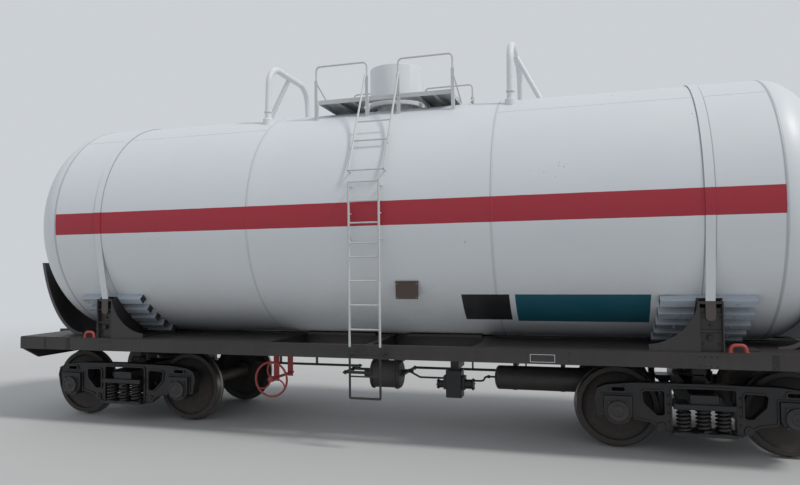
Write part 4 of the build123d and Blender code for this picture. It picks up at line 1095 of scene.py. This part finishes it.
def make_sill_details():
    """Cover strips over the sills' joints, rivets beside the bolsters and the field's outline."""
    mesh = bmesh.new()
    edge = 0.004
    for side in SIDES:
        face = side * SILL_FACE
        for end in ENDS:
            for along, half in SILL_STRIPS:
                low = (end * along - half, face, SILL_BOTTOM + edge)
                slab(mesh, low, (end * along + half, face + side * edge, SILL_TOP - edge))
            for row in BOLSTER_RIVETS:
                for z in (SILL_BOTTOM + 0.035, SILL_TOP - 0.035):
                    spot = (end * BOGIE_X + row, face, z)
                    disc(mesh, spot, (0, side, 0), 0.011, 0.006, 12, 0.006)
        for station in SILL_RIVETS:
            for z in (SILL_BOTTOM + 0.045, SILL_TOP - 0.045):
                disc(mesh, (station, face, z), (0, side, 0), 0.010, 0.006, 12, 0.006)
    piece("sill_details", mesh, "cast", "car")
    marks = bmesh.new()
    low = 2.007
    high = 2.288
    line = 0.005
    bottom = SILL_BOTTOM + 0.022
    top = SILL_BOTTOM + 0.112
    face = -SILL_FACE
    out = face - 0.0008
    slab(marks, (low, face, bottom), (high, out, bottom + line))
    slab(marks, (low, face, top - line), (high, out, top))
    slab(marks, (low, face, bottom + line), (low + line, out, top - line))
    slab(marks, (high - line, face, bottom + line), (high, out, top - line))
    piece("plate_outline", marks, "white", "car")


# Brake gear: thin pipes, bolts and lever pins
PIPE = 0.013
PIPE_BEND = 0.05
CYLINDER_Y = -0.60
CYLINDER_Z = 0.752
CYLINDER_RING = 0.19
DISTRIBUTOR_Y = -0.59
RESERVOIR_Y = -0.45
RESERVOIR_Z = 0.735


def make_air_pipes():
    """Thin pipes between the brake fittings, with their unions and clips."""
    mesh = bmesh.new()
    runs = (
        # points from one fitting to the next
        ((0.935, -0.52, 0.83), (0.935, -0.52, 0.955), (0.935, -0.20, 0.955)),
        ((1.05, -0.60, 0.70), (1.32, -0.60, 0.70), (1.32, -0.45, 0.735), (1.47, -0.45, 0.735)),
        ((0.80, -0.60, 0.72), (0.46, -0.60, 0.72), (0.30, -0.60, 0.80), (0.19, -0.60, 0.80)),
        ((-0.62, -0.72, 1.04), (-0.20, -0.72, 1.04), (0.60, -0.72, 1.04), (2.60, -0.72, 1.04)),
    )
    for points in runs:
        tube(mesh, points, PIPE, PIPE_BEND, 10)
    for x in (-0.55, 0.25, 1.05, 1.85, 2.55):
        slab(mesh, (x - 0.012, -0.745, 1.022), (x + 0.012, -0.695, 1.076))
    for x, y, z in ((1.32, -0.45, 0.735), (0.30, -0.60, 0.80)):
        disc(mesh, (x + 0.03, y, z), (1, 0, 0), 0.022, 0.035, 6)
    piece("air_pipes", mesh, "cast", "car", (), 40)


def make_brake_bolts():
    """Bolt rings on the cylinder and the distributor, lever pins and strap bolts."""
    mesh = bmesh.new()
    for x, way in ((-0.18, 1), (0.14, -1)):
        heart = Vector((x, CYLINDER_Y, CYLINDER_Z))
        for offset in around("X", CYLINDER_RING, 8, 0.5):
            disc(mesh, heart + offset, (way, 0, 0), 0.011, 0.014, 6)
    for x, z, radius, way in ((1.19, 0.65, 0.064, 1), (0.70, 0.64, 0.052, -1)):
        heart = Vector((x, DISTRIBUTOR_Y, z))
        for offset in around("X", radius, 6):
            disc(mesh, heart + offset, (way, 0, 0), 0.009, 0.008, 6)
    for x in (-0.625, 0.2253):
        for y in (-0.60, -0.28, 0.0):
            disc(mesh, (x, y, CYLINDER_Z + 0.01), (0, 0, 1), 0.017, 0.014, 16)
            disc(mesh, (x, y, CYLINDER_Z - 0.01), (0, 0, -1), 0.017, 0.02, 16)
    for x in (1.72, 2.33):
        for y in (RESERVOIR_Y - 0.01, RESERVOIR_Y + 0.04):
            disc(mesh, (x, y, RESERVOIR_Z + 0.19), (0, -1, 0), 0.010, 0.01, 6)
    piece("brake_bolts", mesh, "cast", "car")


# Bogies: box caps, spring seats, bosses, rivets and brake hangers
BOX_OUT = 1.13
CAP_BOLT_RING = 0.103
BOX_BOLT_RING = 0.142
COLUMN_X = 0.375
BOSS_X = 0.455
HANGER_Y = 0.66
HANGER = 0.012


def make_box_caps(name, centre):
    """The turned front cap of each axle box, with its ring of bolts."""
    mesh = bmesh.new()
    profile = (
        (0.0, 0.1195),
        (0.010, 0.1195),
        (0.014, 0.116),
        (0.0345, 0.1185),
        (0.0375, 0.114),
        (0.0385, 0.094),
        (0.036, 0.090),
        (0.036, 0.066),
        (0.041, 0.062),
        (0.043, 0.056),
        (0.043, 0.0),
    )
    for way in (-1, 1):
        for side in SIDES:
            heart = Vector((centre + way * AXLE_OFFSET, side * BOX_OUT, AXLE_Z))
            lathe(mesh, profile, heart, (0, side, 0), (1, 0, 0), 40)
            face = heart + Vector((0, side * 0.037, 0))
            for offset in around("Y", CAP_BOLT_RING, 8, 0.5):
                disc(mesh, face + offset, (0, side, 0), 0.0085, 0.008, 6)
            disc(mesh, heart + Vector((0, side * 0.042, 0)), (0, side, 0), 0.016, 0.01, 6)
            for offset in around("Y", BOX_BOLT_RING, 4, 0.5):
                disc(mesh, heart + offset, (0, side, 0), 0.015, 0.018, 6)
    seal(mesh)
    piece(name + "_box_caps", mesh, "cap", name, (), 35)


def make_bogie_details(name, centre):
    """Rivets, bosses and bolts on the side frames, the springs' seats, and brake beam hangers."""
    mesh = bmesh.new()
    for side in SIDES:
        face = side * (FRAME_LINE + 0.065)
        for way in (-1, 1):
            column = centre + way * COLUMN_X
            for z in (0.40, 0.50, 0.60, 0.70):
                disc(mesh, (column, face, z), (0, side, 0), 0.014, 0.010, 12, 0.008)
            boss = Vector((centre + way * BOSS_X, face, 0.345))
            disc(mesh, boss, (0, side, 0), 0.052, 0.016, 24, 0.046)
            disc(mesh, boss + Vector((0, side * 0.016, 0)), (0, side, 0), 0.020, 0.010, 6)
            for offset in (-0.11, 0.11):
                spot = (centre + way * AXLE_OFFSET + offset, face, 0.735)
                disc(mesh, spot, (0, side, 0), 0.012, 0.010, 6)
        for column in (-1, 0, 1):
            for row in (-1, 1):
                x = centre + column * SPRING_PITCH
                y = side * FRAME_LINE + row * SPRING_ROW
                disc(mesh, (x, y, SPRING_LOW - 0.0005), (0, 0, 1), 0.082, 0.007, 24, 0.079)
                disc(mesh, (x, y, SPRING_HIGH - 0.006), (0, 0, 1), 0.079, 0.0065, 24, 0.081)
    for way in (-1, 1):
        beam = centre + way * (AXLE_OFFSET - 0.5695)
        for side in SIDES:
            y = side * HANGER_Y
            run = ((beam, y, 0.478), (beam + way * 0.01, y, 0.60), (beam + way * 0.02, y, 0.735))
            tube(mesh, run, HANGER, 0.02, 10)
    piece(name + "_details", mesh, "cast", name, (), 35)


# Valves under the hood, seen when it is open
VALVES = ((-0.17, 0.0), (0.10, 0.16), (0.10, -0.16))
VALVE_WHEEL = 0.05
VALVE_RADIUS = 0.055
VALVE_HEIGHT = 0.25


def make_valves():
    """A hand wheel, four flange bolts and a hexagon on each of the three valves."""
    mesh = bmesh.new()
    for x, y in VALVES:
        foot = Vector((x, y, FLANGE_HIGH))
        hub = foot + Vector((0, 0, VALVE_HEIGHT + 0.006))
        rim = [hub + offset for offset in around("Z", VALVE_WHEEL, 12)]
        for first, second in zip(rim, rim[1:] + rim[:1]):
            bar(mesh, first, second, 0.006, 8)
        for offset in around("Z", VALVE_WHEEL, 3):
            bar(mesh, hub, hub + offset, 0.005, 8)
        for offset in around("Z", VALVE_RADIUS + 0.02, 4, 0.5):
            bolt(mesh, foot + offset, (0, 0, 1), 0.012, 0.018)
        nut = foot + Vector((0, 0, VALVE_HEIGHT / 2))
        disc(mesh, nut, (0, 0, 1), VALVE_RADIUS * 0.9, 0.012, 6)
    piece("valve_wheels", mesh, "red", "car", (), 35)


def make_plate_bolts():
    """A screw at each corner of the blank data plate."""
    middle = Vector((0.506, -1.3955, 1.9185))
    mesh = bmesh.new()
    for along in (-0.125, 0.125):
        for rise in (-0.085, 0.085):
            disc(mesh, middle + Vector((along, 0, rise)), (0, -1, 0), 0.007, 0.005, 10, 0.005)
    piece("plate_screws", mesh, "stud", "car")


# CAD nodes that keep their shape with rounded edges: node, finish, edge
DRESSED = (
    ("tank_bands", "shell", 0.003),
    ("saddles", "frame", 0.003),
    ("centre_feet", "frame", 0.003),
    ("centre_sill", "frame", 0.003),
    ("side_sills", "frame", 0.004),
    ("end_beams", "frame", 0.004),
    ("crossbearers", "frame", 0.003),
    ("deck_plates", "frame", 0.002),
    ("coupler_a", "cast", 0.010),
    ("coupler_b", "cast", 0.010),
    ("dome", "white", 0.003),
    ("manhole_cover", "white", 0.003),
    ("platform", "platform", 0.0015),
    ("platform_rails_near", "platform", 0.0015),
    ("platform_rails_far", "platform", 0.0015),
    ("ladder_near", "ladder", 0.0015),
    ("ladder_far", "ladder", 0.0015),
    ("brake_cylinder", "frame", 0.004),
    ("brake_rods", "frame", 0.003),
    ("air_distributor", "cast", 0.006),
    ("air_reservoir", "frame", 0.003),
    ("brake_pipe", "frame", 0.002),
    ("hand_brake", "red", 0.002),
    ("data_plate", "plate", 0.002),
    ("uncoupling_levers", "frame", 0.002),
)
BOGIE_DRESSED = (
    ("side_frames", "cast", 0.012),
    ("axle_boxes", "cast", 0.008),
    ("bolster", "cast", 0.008),
    ("brakes", "cast", 0.004),
)

make_camera()
make_tank()
make_long_seams()
make_arches()
make_flange_studs()
make_timbers()
make_tongues()
make_staples()
make_body_bolsters()
make_shields()
make_beam_aprons()
make_sill_details()
make_air_pipes()
make_brake_bolts()
make_valves()
make_plate_bolts()
for node_name, finish_name, edge_width in DRESSED:
    dress(node_name, finish_name, "car", edge_width)
dress("dome_hood", "white", "hood", 0.003)
for bogie_name, bogie_x in (("bogie_a", BOGIE_X), ("bogie_b", -BOGIE_X)):
    for part_name, finish_name, edge_width in BOGIE_DRESSED:
        dress(f"{bogie_name}_{part_name}", finish_name, bogie_name, edge_width)
    make_springs(bogie_name, bogie_x)
    make_box_caps(bogie_name, bogie_x)
    make_bogie_details(bogie_name, bogie_x)
AXLE_STATIONS = (
    BOGIE_X + AXLE_OFFSET,
    BOGIE_X - AXLE_OFFSET,
    -BOGIE_X + AXLE_OFFSET,
    -BOGIE_X - AXLE_OFFSET,
)
for wheelset, station in enumerate(AXLE_STATIONS, start=1):
    make_wheelset(wheelset, station)


# Studio: pale floor that fades into an even sky, and one broad lamp
FLOOR = (0.52, 0.52, 0.515, 1)
SKY = (0.60, 0.63, 0.66, 1)
FLOOR_RADIUS = 300
FADE_START = 7.5
FADE_END = 26.0
SKY_LIGHT = (0.90, 0.95, 1.0, 1)
SKY_STRENGTH = 0.62
LAMP_WAY = Vector((-0.62, 0.12, -0.78))
LAMP_ENERGY = 1.6
LAMP_ANGLE = 10
LAMP_COLOUR = (1.0, 0.975, 0.94)


def seen_directly(tree):
    """1 for what the camera sees, straight or in gloss, and 0 for light."""
    path = tree.nodes.new("ShaderNodeLightPath")
    seen = math_node(tree, "MAXIMUM", path.outputs["Is Camera Ray"], path.outputs["Is Glossy Ray"])
    return math_node(tree, "MAXIMUM", seen, path.outputs["Is Transmission Ray"])


def make_floor():
    mesh = bmesh.new()
    bmesh.ops.create_circle(mesh, cap_ends=True, segments=96, radius=FLOOR_RADIUS)
    floor, data = mesh_object("floor", mesh)
    material, tree, shader, position = new_material("pale_floor")
    tone = noise(tree, position, 0.5, 4.0)
    colour = blend_colour(tree, tone, shade(FLOOR, 0.97), FLOOR)
    tree.links.new(colour, shader.inputs["Base Color"])
    shader.inputs["Roughness"].default_value = 0.9
    far = put(tree, "VectorMath", {0: position}, operation="LENGTH").outputs["Value"]
    sky = put(tree, "Emission", {"Color": SKY, "Strength": 1.0})
    share = math_node(tree, "MULTIPLY", ramp(tree, far, FADE_START, FADE_END), seen_directly(tree))
    mixed = put(tree, "MixShader", {0: share, 1: shader.outputs[0], 2: sky.outputs[0]})
    tree.links.new(mixed.outputs[0], tree.nodes["Material Output"].inputs["Surface"])
    data.materials.append(material)


def make_sky():
    world = bpy.data.worlds.new("studio")
    bpy.context.scene.world = world
    world.use_nodes = True
    tree = world.node_tree
    light = tree.nodes["Background"]
    light.inputs["Color"].default_value = SKY_LIGHT
    light.inputs["Strength"].default_value = SKY_STRENGTH
    shown = put(tree, "Background", {"Color": SKY, "Strength": 1.0})
    mixed = put(
        tree,
        "MixShader",
        {0: seen_directly(tree), 1: light.outputs["Background"], 2: shown.outputs["Background"]},
    )
    tree.links.new(mixed.outputs[0], tree.nodes["World Output"].inputs["Surface"])


def make_lamp():
    lamp = bpy.data.objects.new("key", bpy.data.lights.new("key", "SUN"))
    lamp.data.energy = LAMP_ENERGY
    lamp.data.angle = radians(LAMP_ANGLE)
    lamp.data.color = LAMP_COLOUR
    lamp.rotation_mode = "QUATERNION"
    lamp.rotation_quaternion = LAMP_WAY.to_track_quat("-Z", "Y")
    bpy.context.scene.collection.objects.link(lamp)


make_floor()
make_sky()
make_lamp()
bpy.context.scene.view_settings.view_transform = "Standard"
